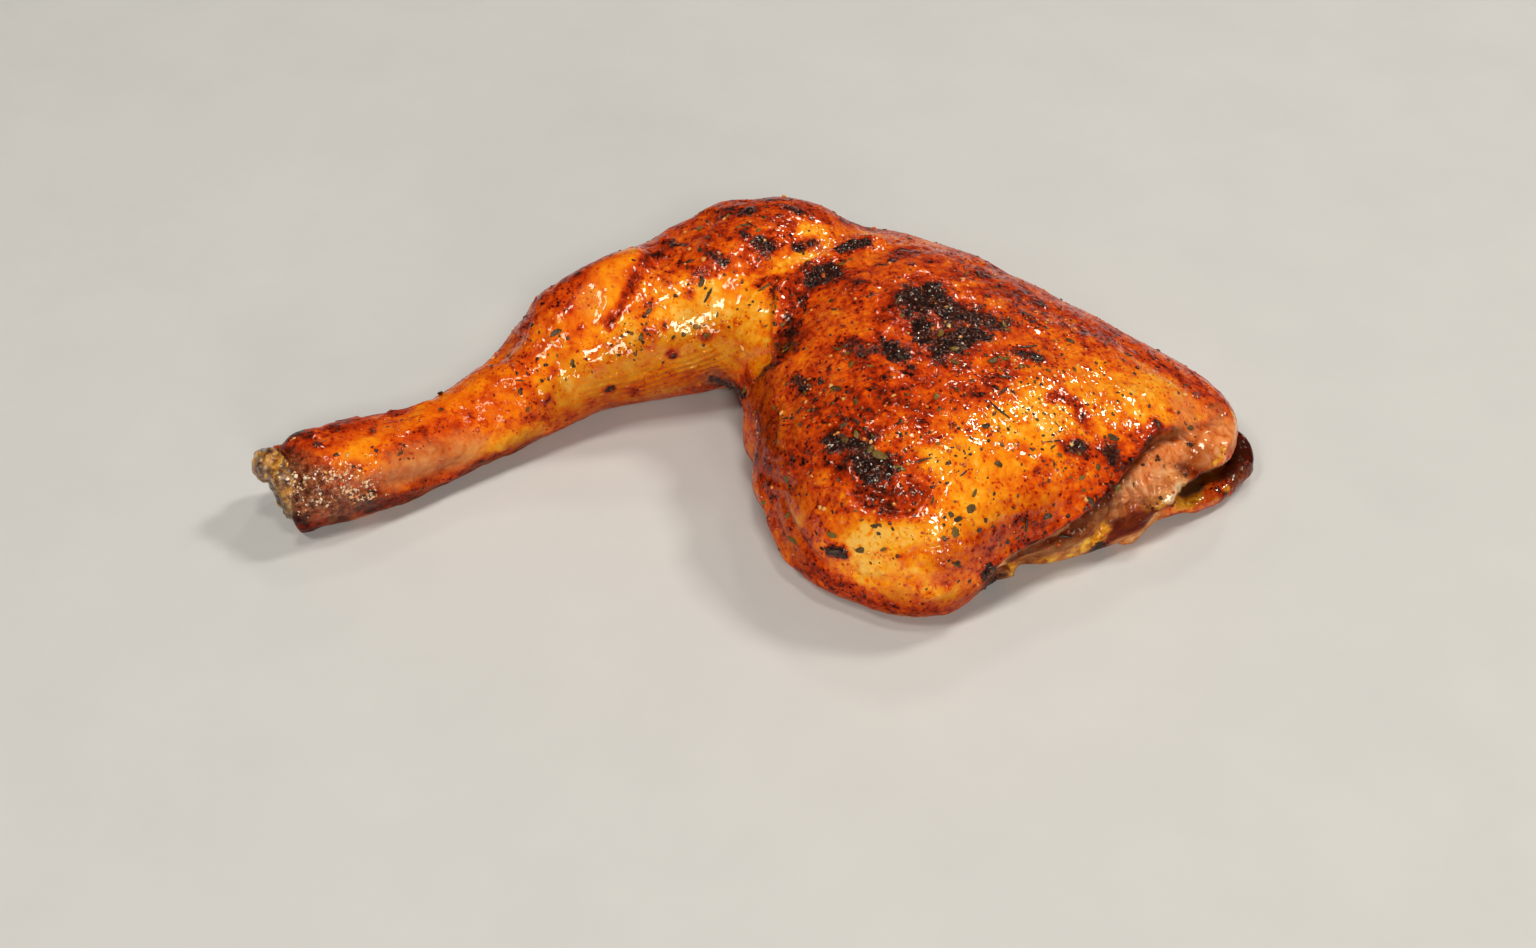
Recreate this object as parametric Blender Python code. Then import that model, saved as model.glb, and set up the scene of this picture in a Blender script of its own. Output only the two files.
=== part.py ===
"""A grilled chicken leg in one piece, thigh and drumstick, lying skin side up.

Metres, +Z up.  The leg lies on its flat under side at Z = 0.  X runs from the ankle
(-X) to the hip (+X), and Y from the thigh's front edge (-Y) to the knee (+Y).
The origin is at the middle of the foot of the whole leg's box.
"""
import math

import bmesh
import bpy
import numpy as np
from mathutils import Matrix, Vector

MM = 0.001

# ---------------------------------------------------------------- driving sizes, mm
# The stations below are measured from a point near the crook of the knee, and the
# whole is then moved by SHIFT, so that the origin is at the middle of the leg's foot.
SHIFT = (-3.18, 6.68, 0.0)

# drumstick: the middle of each section, its half width across and its half height
SHANK = [  # x, y, z, half width, half height
    (-107.0, -29.0, 9.0, 9.0, 9.2),
    (-100.0, -27.0, 9.1, 10.3, 9.9),
    (-90.0, -23.4, 9.3, 10.9, 10.2),
    (-80.0, -18.8, 9.2, 10.5, 9.8),
    (-70.0, -13.0, 9.2, 9.5, 9.5),
    (-60.0, -6.4, 9.9, 9.4, 9.6),
    (-50.0, 2.0, 11.9, 11.7, 11.1),
    (-39.5, 10.8, 14.9, 14.9, 13.6),
    (-28.0, 17.2, 17.0, 17.3, 15.5),
    (-15.5, 20.8, 18.5, 18.8, 17.0),
    (-3.0, 26.8, 20.2, 20.6, 19.2),
    (9.0, 29.6, 20.4, 19.6, 19.2),
    (20.0, 28.0, 19.4, 17.0, 17.8),
]
# knee: the swelling that carries the drumstick over into the thigh, middle and radii
KNEE = ((9.0, 20.0, 19.0), (19.0, 22.0, 18.6))
# thigh: its outline at the widest level, point by point round from the crook of the
# knee, with the height of that level; then where its middle is and how high it swells
THIGH_MIDDLE = (46.0, -8.0)
THIGH = [  # x, y, height of the widest level
    (0.5, 8.0, 10.0), (0.5, -8.0, 9.0), (2.5, -24.0, 8.0), (6.5, -41.0, 7.0),
    (14.5, -53.0, 6.0), (28.0, -60.5, 6.0), (40.0, -62.8, 6.0), (50.0, -58.5, 6.0),
    (60.0, -50.5, 6.0), (76.0, -43.2, 7.0), (92.0, -36.0, 8.0), (102.5, -28.0, 12.0),
    (109.8, -12.5, 15.0), (104.2, 3.0, 14.5), (85.5, 16.0, 13.5), (66.0, 28.4, 15.0),
    (44.0, 40.5, 17.0), (22.0, 46.0, 17.0), (5.0, 30.0, 14.0),
]
THIGH_TOP = 37.5
# a small lobe of fat squeezed out under the thigh's front edge
LOBE = ((54.5, -51.0, 3.6), (6.0, 4.6, 3.8))

# the skin's torn edge over the knee: the skin of the thigh is lapped on the far side
KNEE_EDGE = [(1.0, -9.0), (5.5, -6.0), (6.3, 5.0), (7.0, 12.0), (13.0, 15.5),
             (20.5, 21.5), (27.5, 24.5), (36.0, 24.0)]
KNEE_EDGE_STEP = 1.5
# the skin's cut edge round the hip end, over the bare meat
CUT_EDGE = [(48.0, -60.5), (53.1, -57.0), (62.1, -50.5), (70.8, -45.6), (76.2, -42.1),
            (81.7, -37.8), (86.3, -32.2), (91.1, -27.0), (96.1, -22.4), (101.0, -14.0),
            (104.5, -4.0), (101.0, 6.0)]
CUT_EDGE_STEP = 1.9

# folds down the side wall of the thigh: place along Y, lean, half width and height
FOLDS = [(2.0, 0.3, 2.6, 0.9), (-5.5, 0.15, 2.0, -0.9), (-11.0, 0.05, 3.0, 0.9),
         (-19.0, -0.1, 2.4, -0.8), (-27.0, -0.2, 3.6, 0.8), (-36.0, -0.35, 2.6, -0.7)]

# the hollow under the hip end, and the lip of skin that curls up round it
HOLLOW = [  # x, y, z, half width, half height
    (92.0, -30.6, 6.4, 2.8, 2.2), (98.0, -26.6, 7.2, 5.4, 4.4),
    (104.0, -21.0, 7.8, 6.4, 5.2), (107.6, -14.0, 8.2, 5.6, 5.0),
    (108.6, -7.5, 8.4, 3.4, 3.2),
]
LIP = [
    (82.0, -34.0, 2.0, 3.6, 2.4), (90.0, -31.4, 2.6, 3.6, 3.0),
    (97.0, -27.8, 2.2, 2.8, 2.6), (103.5, -24.0, 2.8, 3.2, 3.2),
    (108.4, -19.4, 3.0, 2.8, 3.0), (111.0, -15.0, 4.2, 2.9, 3.7),
    (110.6, -10.6, 6.0, 2.7, 4.2), (106.6, -6.6, 6.8, 2.4, 3.4),
]
TRAY = [  # the thin skin under the hollow, between the meat and the lip
    (84.0, -29.0, 1.4, 4.0, 1.9), (92.0, -27.0, 1.6, 6.0, 2.0),
    (98.5, -22.4, 1.8, 7.6, 2.0), (103.4, -15.6, 2.4, 8.0, 2.2),
    (104.0, -8.0, 3.2, 6.0, 2.4),
]

# ankle: the cut across the drumstick's end, and the knuckle that stands out of it
ANKLE_CUT = (-99.4, -26.6, 8.6)         # a point on the cut
ANKLE_FACE = (-0.88, -0.45, -0.08)      # which way the cut faces
# in the ankle's own axes: across to the front, up, and out of the cut
STUB = ((0.0, 0.3, -5.0), (7.9, 7.7, 12.5))
STUB_END = (0.0, 0.0, 2.6)              # a point on the stub's own slanting end
STUB_FACE = (-0.764, -0.628, -0.15)
KNOB = ((-3.9, 3.2, 1.8), (4.7, 4.6, 4.6))
SOCKET_GAP = 0.3

BLEND_GRAIN = 1.25          # grain of the blended body
SKIN_GRAIN = 1.0            # grain once edges, hollow and lip are in
BODY_SHARE = 0.075          # part of the fine skin's triangles that are kept


def to_m(p):
    return Vector(((p[0] + SHIFT[0]) * MM, (p[1] + SHIFT[1]) * MM, (p[2] + SHIFT[2]) * MM))


def smooth_line(rows, steps):
    """Rows of numbers read along a Catmull-Rom curve, steps points per span."""
    rows = np.array(rows, float)
    ends = np.vstack([2 * rows[0] - rows[1], rows, 2 * rows[-1] - rows[-2]])
    out = []
    for i in range(1, len(ends) - 2):
        a, b, c, d = ends[i - 1:i + 3]
        for t in np.linspace(0, 1, steps, endpoint=False):
            out.append(0.5 * (2 * b + (c - a) * t + (2 * a - 5 * b + 4 * c - d) * t ** 2
                              + (3 * b - a - 3 * c + d) * t ** 3))
    out.append(rows[-1])
    return np.array(out)


def smooth_ring(points, count):
    """Points round a closed Catmull-Rom curve through the given ones."""
    p = np.array(points, float)
    n = len(p)
    out = []
    for k in range(count):
        s = k * n / count
        i, t = int(s) % n, s - int(s)
        a, b, c, d = p[(i - 1) % n], p[i], p[(i + 1) % n], p[(i + 2) % n]
        out.append(0.5 * (2 * b + (c - a) * t + (2 * a - 5 * b + 4 * c - d) * t ** 2
                          + (3 * b - a - 3 * c + d) * t ** 3))
    return np.array(out)


def skin_over(name, rings, poles):
    """One closed mesh over rings of points, closed by a pole at each end."""
    bm = bmesh.new()
    rows = [[bm.verts.new(to_m(p)) for p in ring] for ring in rings]
    first, last = bm.verts.new(to_m(poles[0])), bm.verts.new(to_m(poles[1]))
    for a, b in zip(rows, rows[1:]):
        for i in range(len(a)):
            j = (i + 1) % len(a)
            bm.faces.new((a[i], a[j], b[j], b[i]))
    for i in range(len(rows[0])):
        j = (i + 1) % len(rows[0])
        bm.faces.new((first, rows[0][j], rows[0][i]))
        bm.faces.new((last, rows[-1][i], rows[-1][j]))
    bmesh.ops.recalc_face_normals(bm, faces=bm.faces)
    mesh = bpy.data.meshes.new(name)
    bm.to_mesh(mesh)
    bm.free()
    return mesh


def limb(name, stations, sides=32, steps=4, full=2.3, tip=2.2):
    """A tube of changing oval section along a line, with rounded ends."""
    line = smooth_line(stations, steps)
    way = np.gradient(line[:, :3], axis=0)
    way /= np.linalg.norm(way, axis=1)[:, None]
    rings = []
    ends = 5
    for k in range(len(line)):
        along = way[k]
        across = np.cross((0, 0, 1.0), along)
        across /= np.linalg.norm(across)
        up = np.cross(along, across)
        wide, high = line[k, 3], line[k, 4]
        ring = []
        for j in range(sides):
            t = 2 * math.pi * j / sides
            c, s = math.cos(t), math.sin(t)
            r = (abs(c) ** full + abs(s) ** full) ** (-1 / full)
            ring.append(line[k, :3] + across * wide * r * c + up * high * r * s)
        rings.append(np.array(ring))

    def round_off(ring, middle, direction, depth):
        made = []
        for j in range(1, ends):
            t = math.pi / 2 * j / ends
            made.append(middle + (ring - middle) * math.cos(t) ** 0.8
                        + direction * depth * math.sin(t))
        return made, middle + direction * depth
    low, low_pole = round_off(rings[0], line[0, :3], -way[0], tip)
    top, top_pole = round_off(rings[-1], line[-1, :3], way[-1], line[-1, 3] * 0.6)
    return skin_over(name, low[::-1] + rings + top, (low_pole, top_pole))


def ball(name, middle, radii, sides=32, levels=16):
    """An egg-shaped lobe with its axes along X, Y and Z."""
    m, r = np.array(middle), np.array(radii)
    rings = [[m + r * (math.sin(a) * math.cos(b), math.sin(a) * math.sin(b), math.cos(a))
              for b in np.linspace(0, 2 * math.pi, sides, endpoint=False)]
             for a in np.linspace(0, math.pi, levels + 1)[1:-1]]
    return skin_over(name, rings, (m + r * (0, 0, 1), m - r * (0, 0, 1)))


def thigh_height(x, y):
    """Height of the thigh's top: fullest over the middle, low towards the hip."""
    fall = 1 / (1 + math.exp(-(x - 76) / 12))
    swell = math.exp(-((x - 30) / 34) ** 2 - ((y - 4) / 30) ** 2)
    return THIGH_TOP - 13.0 * fall + 3.0 * swell - 2.0 * math.exp(-((x - 4) / 12) ** 2)


def thigh(name, sides=72, levels=24):
    """A full, flat-topped dome over the outline, rounded under at the foot."""
    outline = smooth_ring(THIGH, sides)
    middle = np.array(THIGH_MIDDLE)
    rings = []
    for k in range(1, levels):
        t = math.pi * k / levels
        upper = t < math.pi / 2
        s = math.sin(t) ** (0.66 if upper else 0.45)
        c = abs(math.cos(t))
        ring = []
        for q in outline:
            x, y = middle + (q[:2] - middle) * s
            if upper:
                z = q[2] + (thigh_height(x, y) - q[2]) * c ** 0.9
            else:
                z = -0.9 + (q[2] + 0.9) * (1 - c ** 0.8)
            ring.append((x, y, z))
        rings.append(ring)
    return skin_over(name, rings, ((*middle, thigh_height(*middle)), (*middle, -0.9)))


def clear():
    for o in list(bpy.data.objects):
        bpy.data.objects.remove(o, do_unlink=True)


def add(name, mesh):
    o = bpy.data.objects.new(name, mesh)
    bpy.context.scene.collection.objects.link(o)
    return o


def cutter(name, mesh):
    o = add(name, mesh)
    o.hide_render = True
    o.display_type = "WIRE"
    return o


def joined(name, meshes):
    bm = bmesh.new()
    for m in meshes:
        bm.from_mesh(m)
    mesh = bpy.data.meshes.new(name)
    bm.to_mesh(mesh)
    bm.free()
    return mesh


def taken(o):
    """The mesh of an object with its modifiers in; the object goes."""
    graph = bpy.context.evaluated_depsgraph_get()
    mesh = bpy.data.meshes.new_from_object(o.evaluated_get(graph))
    bpy.data.objects.remove(o, do_unlink=True)
    return mesh


def blended(name, meshes, grain, rounds):
    """Overlapping lobes run together into one skin, as one mesh."""
    o = add(name, joined(name, meshes))
    m = o.modifiers.new("blend", "REMESH")
    m.mode, m.voxel_size, m.adaptivity = "VOXEL", grain * MM, 0.0
    m = o.modifiers.new("soften", "SMOOTH")
    m.factor, m.iterations = 0.5, rounds
    return taken(o)


def beside(line, x, y):
    """Distance in plan from a line of points, more than 0 to its left, and how far
    along it the nearest point is, from 0 to 1."""
    line = np.array(smooth_line(line, 6))[:, :2]
    best = np.full(len(x), 1e9)
    side = np.zeros(len(x))
    along = np.zeros(len(x))
    for i, (a, b) in enumerate(zip(line, line[1:])):
        d = b - a
        t = np.clip(((x - a[0]) * d[0] + (y - a[1]) * d[1]) / (d @ d), 0, 1)
        ex, ey = x - a[0] - t * d[0], y - a[1] - t * d[1]
        far = np.hypot(ex, ey)
        near = far < best
        best = np.where(near, far, best)
        side = np.where(near, np.sign(d[0] * ey - d[1] * ex), side)
        along = np.where(near, (i + t) / (len(line) - 1), along)
    return best * np.where(side == 0, 1, side), along


def ramp(v, low, high):
    t = np.clip((v - low) / (high - low), 0, 1)
    return t * t * (3 - 2 * t)


def relief(x, y, z, nx, ny, nz):
    """How far the skin stands out or in at each point, in mm."""
    out = np.zeros(len(x))
    # the thigh's skin lapped over the knee, thickest at its torn edge
    d, along = beside(KNEE_EDGE, x, y)
    d = -d                                  # the thigh is to the right of the edge
    ends = ramp(along, 0.0, 0.08) * (1 - ramp(along, 0.86, 1.0))
    lapped = ramp(d, -0.7, 0.7) * np.exp(-np.clip(d, 0, None) / 16)
    out += KNEE_EDGE_STEP * lapped * ends * ramp(nz, 0.05, 0.4)
    # the bare meat set back from the skin's cut edge round the hip end
    d, along = beside(CUT_EDGE, x, y)
    bare = ramp(-d, -0.7, 0.9) * ramp(x, 46, 54) * (1 - ramp(y, 2, 10))
    out -= CUT_EDGE_STEP * bare * (1 - 0.75 * ramp(-d, 3, 16))
    out += 0.7 * bare * np.sin((x * 0.86 + y * 0.5) / 2.1 + 0.5 * np.sin(z / 3)) * ramp(-d, 1, 4)
    # upright folds down the thigh's side next to the drumstick, under the crook
    wall = ramp(-nx, 0.3, 0.85) * ramp(x, -4, 2) * (1 - ramp(x, 16, 24)) * ramp(z, 0, 5)
    for middle, lean, wide, high in FOLDS:
        fold = np.exp(-((y - middle - lean * (z - 12)) / wide) ** 2)
        out += high * wall * fold
    # two long flats on the calf that meet in a fold running up to the knee
    d, along = beside([(-42.0, -1.0), (-30.0, 2.5), (-22.0, 7.5), (-15.0, 14.0), (-7.0, 27.0)], x, y)
    calf = np.exp(-(d / 5.0) ** 2) * np.where(d > 0, -1.0, 0.6) * ramp(np.abs(d), 0, 1.2)
    out += 0.5 * calf * ramp(nz, 0.1, 0.5) * ramp(x, -46, -38) * (1 - ramp(x, -10, -4))
    # slow unevenness of roasted skin
    out += 0.35 * np.sin(x / 4.1 + 1.7 * np.sin(y / 6.3)) * np.sin(y / 4.7 + 1.3 * np.sin(z / 5.2))
    return out


def embossed(mesh):
    """The mesh with relief() worked into it."""
    n = len(mesh.vertices)
    co, no = np.empty(n * 3), np.empty(n * 3)
    mesh.vertices.foreach_get("co", co)
    mesh.vertex_normals.foreach_get("vector", no)
    co, no = co.reshape(-1, 3), no.reshape(-1, 3)
    p = co / MM - np.array(SHIFT)
    rise = relief(*p.T, *no.T) * (1 - ramp(-no[:, 2], 0.6, 0.95))
    co = co + no * rise[:, None] * MM
    mesh.vertices.foreach_set("co", co.ravel())
    mesh.update()
    return mesh


def box(name, matrix):
    bm = bmesh.new()
    bmesh.ops.create_cube(bm, size=1.0, matrix=matrix)
    mesh = bpy.data.meshes.new(name)
    bm.to_mesh(mesh)
    bm.free()
    return mesh


def facing(point, direction):
    """Axes of a slanting face: across it, up it and out of it, at a point on it."""
    out = Vector(direction).normalized()
    across = Vector((0, 0, 1)).cross(out).normalized()
    up = out.cross(across)
    m = Matrix((across, up, out)).transposed().to_4x4()
    m.translation = point
    return m


def slab(name, frame):
    """A block whose foot is the face, standing out from it."""
    return box(name, frame @ Matrix.Translation((0, 0, 0.02)) @ Matrix.Diagonal((0.06, 0.06, 0.04, 1)))


def lobe(name, frame, place, radii, grow=0.0):
    """An egg in a face's own axes, grow mm larger all round."""
    bm = bmesh.new()
    m = frame @ Matrix.Translation(Vector(place) * MM) @ Matrix.Diagonal(
        [(r + grow) * MM for r in radii] + [1])
    bmesh.ops.create_icosphere(bm, subdivisions=4, radius=1.0, matrix=m)
    mesh = bpy.data.meshes.new(name)
    bm.to_mesh(mesh)
    bm.free()
    return mesh


def finish(o, name, colour, roughness, angle=50):
    """Material and shading: metallic is 0 on all food."""
    mat = bpy.data.materials.new(name)
    mat.use_nodes = True
    p = mat.node_tree.nodes["Principled BSDF"]
    p.inputs["Base Color"].default_value = (*colour, 1)
    p.inputs["Roughness"].default_value = roughness
    p.inputs["Metallic"].default_value = 0.0
    o.data.materials.clear()
    o.data.materials.append(mat)
    o.data.shade_smooth()
    o.data.set_sharp_from_angle(angle=math.radians(angle))


def boolean(o, name, other, operation):
    m = o.modifiers.new(name, "BOOLEAN")
    m.operation, m.solver, m.object = operation, "EXACT", other


def build():
    clear()
    flesh = embossed(blended("flesh", [
        limb("drumstick", SHANK), ball("knee", *KNEE), thigh("thigh"), ball("lobe", *LOBE)],
        BLEND_GRAIN, 20))
    hollowed = add("hollowed", flesh)
    boolean(hollowed, "hollow", cutter("hollow_cutter", limb("hollow_cutter", HOLLOW, tip=3.0)),
            "DIFFERENCE")
    leg = add("chicken_leg", joined("chicken_leg", [
        taken(hollowed), limb("tray", TRAY, full=2.6), limb("lip", LIP, full=2.6)]))
    m = leg.modifiers.new("one skin", "REMESH")
    m.mode, m.voxel_size, m.adaptivity = "VOXEL", SKIN_GRAIN * MM, 0.0
    m = leg.modifiers.new("soften", "SMOOTH")
    m.factor, m.iterations = 0.5, 3
    m = leg.modifiers.new("coarsen", "DECIMATE")
    m.ratio = BODY_SHARE
    # the flat that the leg lies on, and the cut across the ankle
    under = Matrix.Translation((0, 0, -0.02)) @ Matrix.Diagonal((0.4, 0.3, 0.04, 1))
    boolean(leg, "under", cutter("under_cutter", box("under_cutter", under)), "DIFFERENCE")
    ankle = facing(to_m(ANKLE_CUT), ANKLE_FACE)
    boolean(leg, "ankle", cutter("ankle_cutter", slab("ankle_cutter", ankle)), "DIFFERENCE")
    socket = blended("socket_cutter", [lobe("stub", ankle, *STUB, SOCKET_GAP),
                                       lobe("knob", ankle, *KNOB, SOCKET_GAP)], 0.5, 2)
    socket = cutter("socket_cutter", socket)
    m = socket.modifiers.new("coarsen", "DECIMATE")
    m.ratio = 0.1
    boolean(leg, "socket", socket, "DIFFERENCE")
    finish(leg, "chicken_skin", (0.72, 0.26, 0.05), 0.32)

    # the shin bone's gristly end: a stub with a slanting end and a knob on its top edge
    bone = add("ankle_knuckle", blended("stub", [lobe("stub", ankle, *STUB)], 0.5, 2))
    end = facing(ankle @ (Vector(STUB_END) * MM), STUB_FACE)
    boolean(bone, "end", cutter("stub_cutter", slab("stub_cutter", end)), "DIFFERENCE")
    boolean(bone, "knob", cutter("knob_joiner", blended(
        "knob_joiner", [lobe("knob", ankle, *KNOB)], 0.5, 2)), "UNION")
    m = bone.modifiers.new("coarsen", "DECIMATE")
    m.ratio = 0.07
    finish(bone, "knuckle_cartilage", (0.62, 0.47, 0.24), 0.4)


build()
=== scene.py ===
"""Looks of a grilled chicken leg: skin, char, bare meat, gristle, seasoning and oil."""
import math

import bmesh
import bpy
import numpy as np
from mathutils import Matrix, Vector
from mathutils.bvhtree import BVHTree


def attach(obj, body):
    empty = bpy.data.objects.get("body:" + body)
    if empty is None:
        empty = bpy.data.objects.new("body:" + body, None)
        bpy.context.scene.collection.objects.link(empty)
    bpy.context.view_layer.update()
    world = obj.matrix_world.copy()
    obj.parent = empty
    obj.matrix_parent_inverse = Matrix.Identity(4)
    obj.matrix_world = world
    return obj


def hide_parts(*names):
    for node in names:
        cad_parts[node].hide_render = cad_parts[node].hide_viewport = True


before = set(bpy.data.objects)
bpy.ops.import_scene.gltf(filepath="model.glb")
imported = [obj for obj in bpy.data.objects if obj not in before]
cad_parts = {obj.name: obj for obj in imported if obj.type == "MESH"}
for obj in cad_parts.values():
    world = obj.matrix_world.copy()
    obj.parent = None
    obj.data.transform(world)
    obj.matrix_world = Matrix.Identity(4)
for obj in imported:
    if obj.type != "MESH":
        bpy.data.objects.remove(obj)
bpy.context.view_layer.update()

MM = 0.001
SHIFT = np.array((-3.18, 6.68, 0.0))      # from the stations' frame to the row frame, mm
W, H = 1536, 948

# ------------------------------------------------------------------ camera, first
CAM_AT = np.array((5.373, -368.583, 322.442)) + SHIFT
CAM_DOWN = 42.2
LENS, SENSOR = 50.0, 36.0
cam = bpy.data.cameras.new("camera")
cam.lens, cam.sensor_width = LENS, SENSOR
cam.clip_start, cam.clip_end = 0.01, 20.0
camera = bpy.data.objects.new("camera", cam)
bpy.context.scene.collection.objects.link(camera)
camera.location = Vector(CAM_AT * MM)
camera.rotation_euler = (math.radians(90 - CAM_DOWN), 0, 0)
bpy.context.scene.camera = camera


def sight(px, py):
    """Direction in which a pixel of the photo's frame looks."""
    f = LENS / SENSOR * W
    a = math.radians(CAM_DOWN)
    ahead, up = Vector((0, math.cos(a), -math.sin(a))), Vector((0, math.sin(a), math.cos(a)))
    return (Vector((1, 0, 0)) * ((px - W / 2) / f) - up * ((py - H / 2) / f) + ahead).normalized()


# ------------------------------------------------------------------ numbers
def ramp(v, low, high):
    t = np.clip((v - low) / (high - low), 0, 1)
    return t * t * (3 - 2 * t)


def mix(a, b, t):
    return a + (b - a) * t


def hashed(i, j, k, seed):
    """A number from 0 to 1 for each lattice cell."""
    h = (i.astype(np.int64) * 73856093 ^ j.astype(np.int64) * 19349663 ^ k.astype(np.int64) * 83492791
         ^ np.int64(seed) * 2654435761) & 0xFFFFFFFF
    h = ((h ^ (h >> 15)) * 2246822519) & 0xFFFFFFFF
    h = ((h ^ (h >> 13)) * 3266489917) & 0xFFFFFFFF
    return ((h ^ (h >> 16)) & 0xFFFFFF) / float(0xFFFFFF)


def noise(p, size, seed=0):
    """Smooth noise from -1 to 1, cells of size mm."""
    q = p / size
    i = np.floor(q)
    f = q - i
    u = f * f * f * (f * (f * 6 - 15) + 10)
    i = i.astype(np.int64)
    out = 0
    for a in (0, 1):
        for b in (0, 1):
            for c in (0, 1):
                w = ((u[:, 0] if a else 1 - u[:, 0]) * (u[:, 1] if b else 1 - u[:, 1])
                     * (u[:, 2] if c else 1 - u[:, 2]))
                out = out + w * hashed(i[:, 0] + a, i[:, 1] + b, i[:, 2] + c, seed)
    return out * 2 - 1


def fbm(p, size, octaves=4, seed=0, fall=0.5):
    out, amp, total = 0, 1.0, 0.0
    for n in range(octaves):
        out = out + amp * noise(p + 17.3 * n, size / 2 ** n, seed + n)
        total += amp
        amp *= fall
    return out / total


def ridged(p, size, octaves=3, seed=0):
    """Thin raised lines, 0 to 1."""
    out, amp, total = 0, 1.0, 0.0
    for n in range(octaves):
        out = out + amp * (1 - np.abs(noise(p + 9.1 * n, size / 2 ** n, seed + n))) ** 3
        total += amp
        amp *= 0.5
    return out / total


def cells(p, size, seed=0):
    """Distance to the nearest and next nearest of scattered points, in cells, and
    the nearest one's own number."""
    q = p / size
    i = np.floor(q).astype(np.int64)
    f1 = np.full(len(p), 9.0)
    f2 = np.full(len(p), 9.0)
    own = np.zeros(len(p))
    for a in (-1, 0, 1):
        for b in (-1, 0, 1):
            for c in (-1, 0, 1):
                ia, ib, ic = i[:, 0] + a, i[:, 1] + b, i[:, 2] + c
                d = np.sqrt((ia + hashed(ia, ib, ic, seed) - q[:, 0]) ** 2
                            + (ib + hashed(ia, ib, ic, seed + 1) - q[:, 1]) ** 2
                            + (ic + hashed(ia, ib, ic, seed + 2) - q[:, 2]) ** 2)
                near = d < f1
                f2 = np.where(near, f1, np.minimum(f2, d))
                own = np.where(near, hashed(ia, ib, ic, seed + 3), own)
                f1 = np.where(near, d, f1)
    return f1, f2, own


def smooth_line(rows, steps):
    rows = np.array(rows, float)
    ends = np.vstack([2 * rows[0] - rows[1], rows, 2 * rows[-1] - rows[-2]])
    out = []
    for i in range(1, len(ends) - 2):
        a, b, c, d = ends[i - 1:i + 3]
        for t in np.linspace(0, 1, steps, endpoint=False):
            out.append(0.5 * (2 * b + (c - a) * t + (2 * a - 5 * b + 4 * c - d) * t ** 2
                              + (3 * b - a - 3 * c + d) * t ** 3))
    out.append(rows[-1])
    return np.array(out)


def smooth_ring(points, count):
    p = np.array(points, float)
    n = len(p)
    out = []
    for k in range(count):
        s = k * n / count
        i, t = int(s) % n, s - int(s)
        a, b, c, d = p[(i - 1) % n], p[i], p[(i + 1) % n], p[(i + 2) % n]
        out.append(0.5 * (2 * b + (c - a) * t + (2 * a - 5 * b + 4 * c - d) * t ** 2
                          + (3 * b - a - 3 * c + d) * t ** 3))
    return np.array(out)


# ------------------------------------------------------------------ meshes
def add(name, mesh):
    o = bpy.data.objects.new(name, mesh)
    bpy.context.scene.collection.objects.link(o)
    return o


def taken(o):
    graph = bpy.context.evaluated_depsgraph_get()
    mesh = bpy.data.meshes.new_from_object(o.evaluated_get(graph))
    bpy.data.objects.remove(o, do_unlink=True)
    return mesh


def joined(name, meshes):
    bm = bmesh.new()
    for m in meshes:
        bm.from_mesh(m)
    mesh = bpy.data.meshes.new(name)
    bm.to_mesh(mesh)
    bm.free()
    return mesh


def remeshed(mesh, grain, rounds, amount=0.5):
    o = add("work", mesh)
    m = o.modifiers.new("blend", "REMESH")
    m.mode, m.voxel_size, m.adaptivity = "VOXEL", grain * MM, 0.0
    m = o.modifiers.new("soften", "SMOOTH")
    m.factor, m.iterations = amount, rounds
    return taken(o)


def read(mesh):
    """Points in mm and unit normals."""
    n = len(mesh.vertices)
    co, no = np.empty(n * 3), np.empty(n * 3)
    mesh.vertices.foreach_get("co", co)
    mesh.vertex_normals.foreach_get("vector", no)
    return co.reshape(-1, 3) / MM, no.reshape(-1, 3)


def write(mesh, co):
    mesh.vertices.foreach_set("co", (co * MM).ravel())
    mesh.update()


def edges_of(mesh):
    e = np.empty(len(mesh.edges) * 2, np.int32)
    mesh.edges.foreach_get("vertices", e)
    return e.reshape(-1, 2)


def relaxed(values, edges, rounds, amount=0.5):
    """Values evened out over neighbouring points."""
    v = values.reshape(len(values), -1).astype(float)
    n = len(v)
    count = np.bincount(edges.ravel(), minlength=n)[:, None]
    for _ in range(rounds):
        total = np.stack([np.bincount(edges[:, 0], v[edges[:, 1], c], n)
                          + np.bincount(edges[:, 1], v[edges[:, 0], c], n)
                          for c in range(v.shape[1])], 1)
        v = v + amount * (total / np.maximum(count, 1) - v)
    return v.reshape(values.shape)


def attribute(mesh, name, values):
    a = mesh.attributes.new(name, "FLOAT", "POINT")
    a.data.foreach_set("value", np.ascontiguousarray(values, np.float32))


# ------------------------------------------------------------------ the leg's form
SHANK = [
    (-107.0, -29.0, 9.0, 9.0, 9.2), (-100.0, -27.0, 9.1, 10.3, 9.9), (-90.0, -23.4, 9.3, 10.9, 10.2),
    (-80.0, -18.8, 9.2, 10.5, 9.8), (-70.0, -13.0, 9.2, 9.5, 9.5), (-60.0, -6.4, 9.9, 9.4, 9.6),
    (-50.0, 2.0, 11.9, 11.7, 11.1), (-39.5, 10.8, 14.9, 14.9, 13.6), (-28.0, 17.2, 17.0, 17.3, 15.5),
    (-15.5, 20.8, 18.5, 18.8, 17.0), (-3.0, 26.8, 20.2, 20.6, 19.2), (9.0, 29.6, 20.4, 19.6, 19.2),
    (20.0, 28.0, 19.4, 17.0, 17.8),
]
KNEE = ((9.0, 20.0, 19.0), (19.0, 22.0, 18.6))
THIGH_MIDDLE = (46.0, -8.0)
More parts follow.
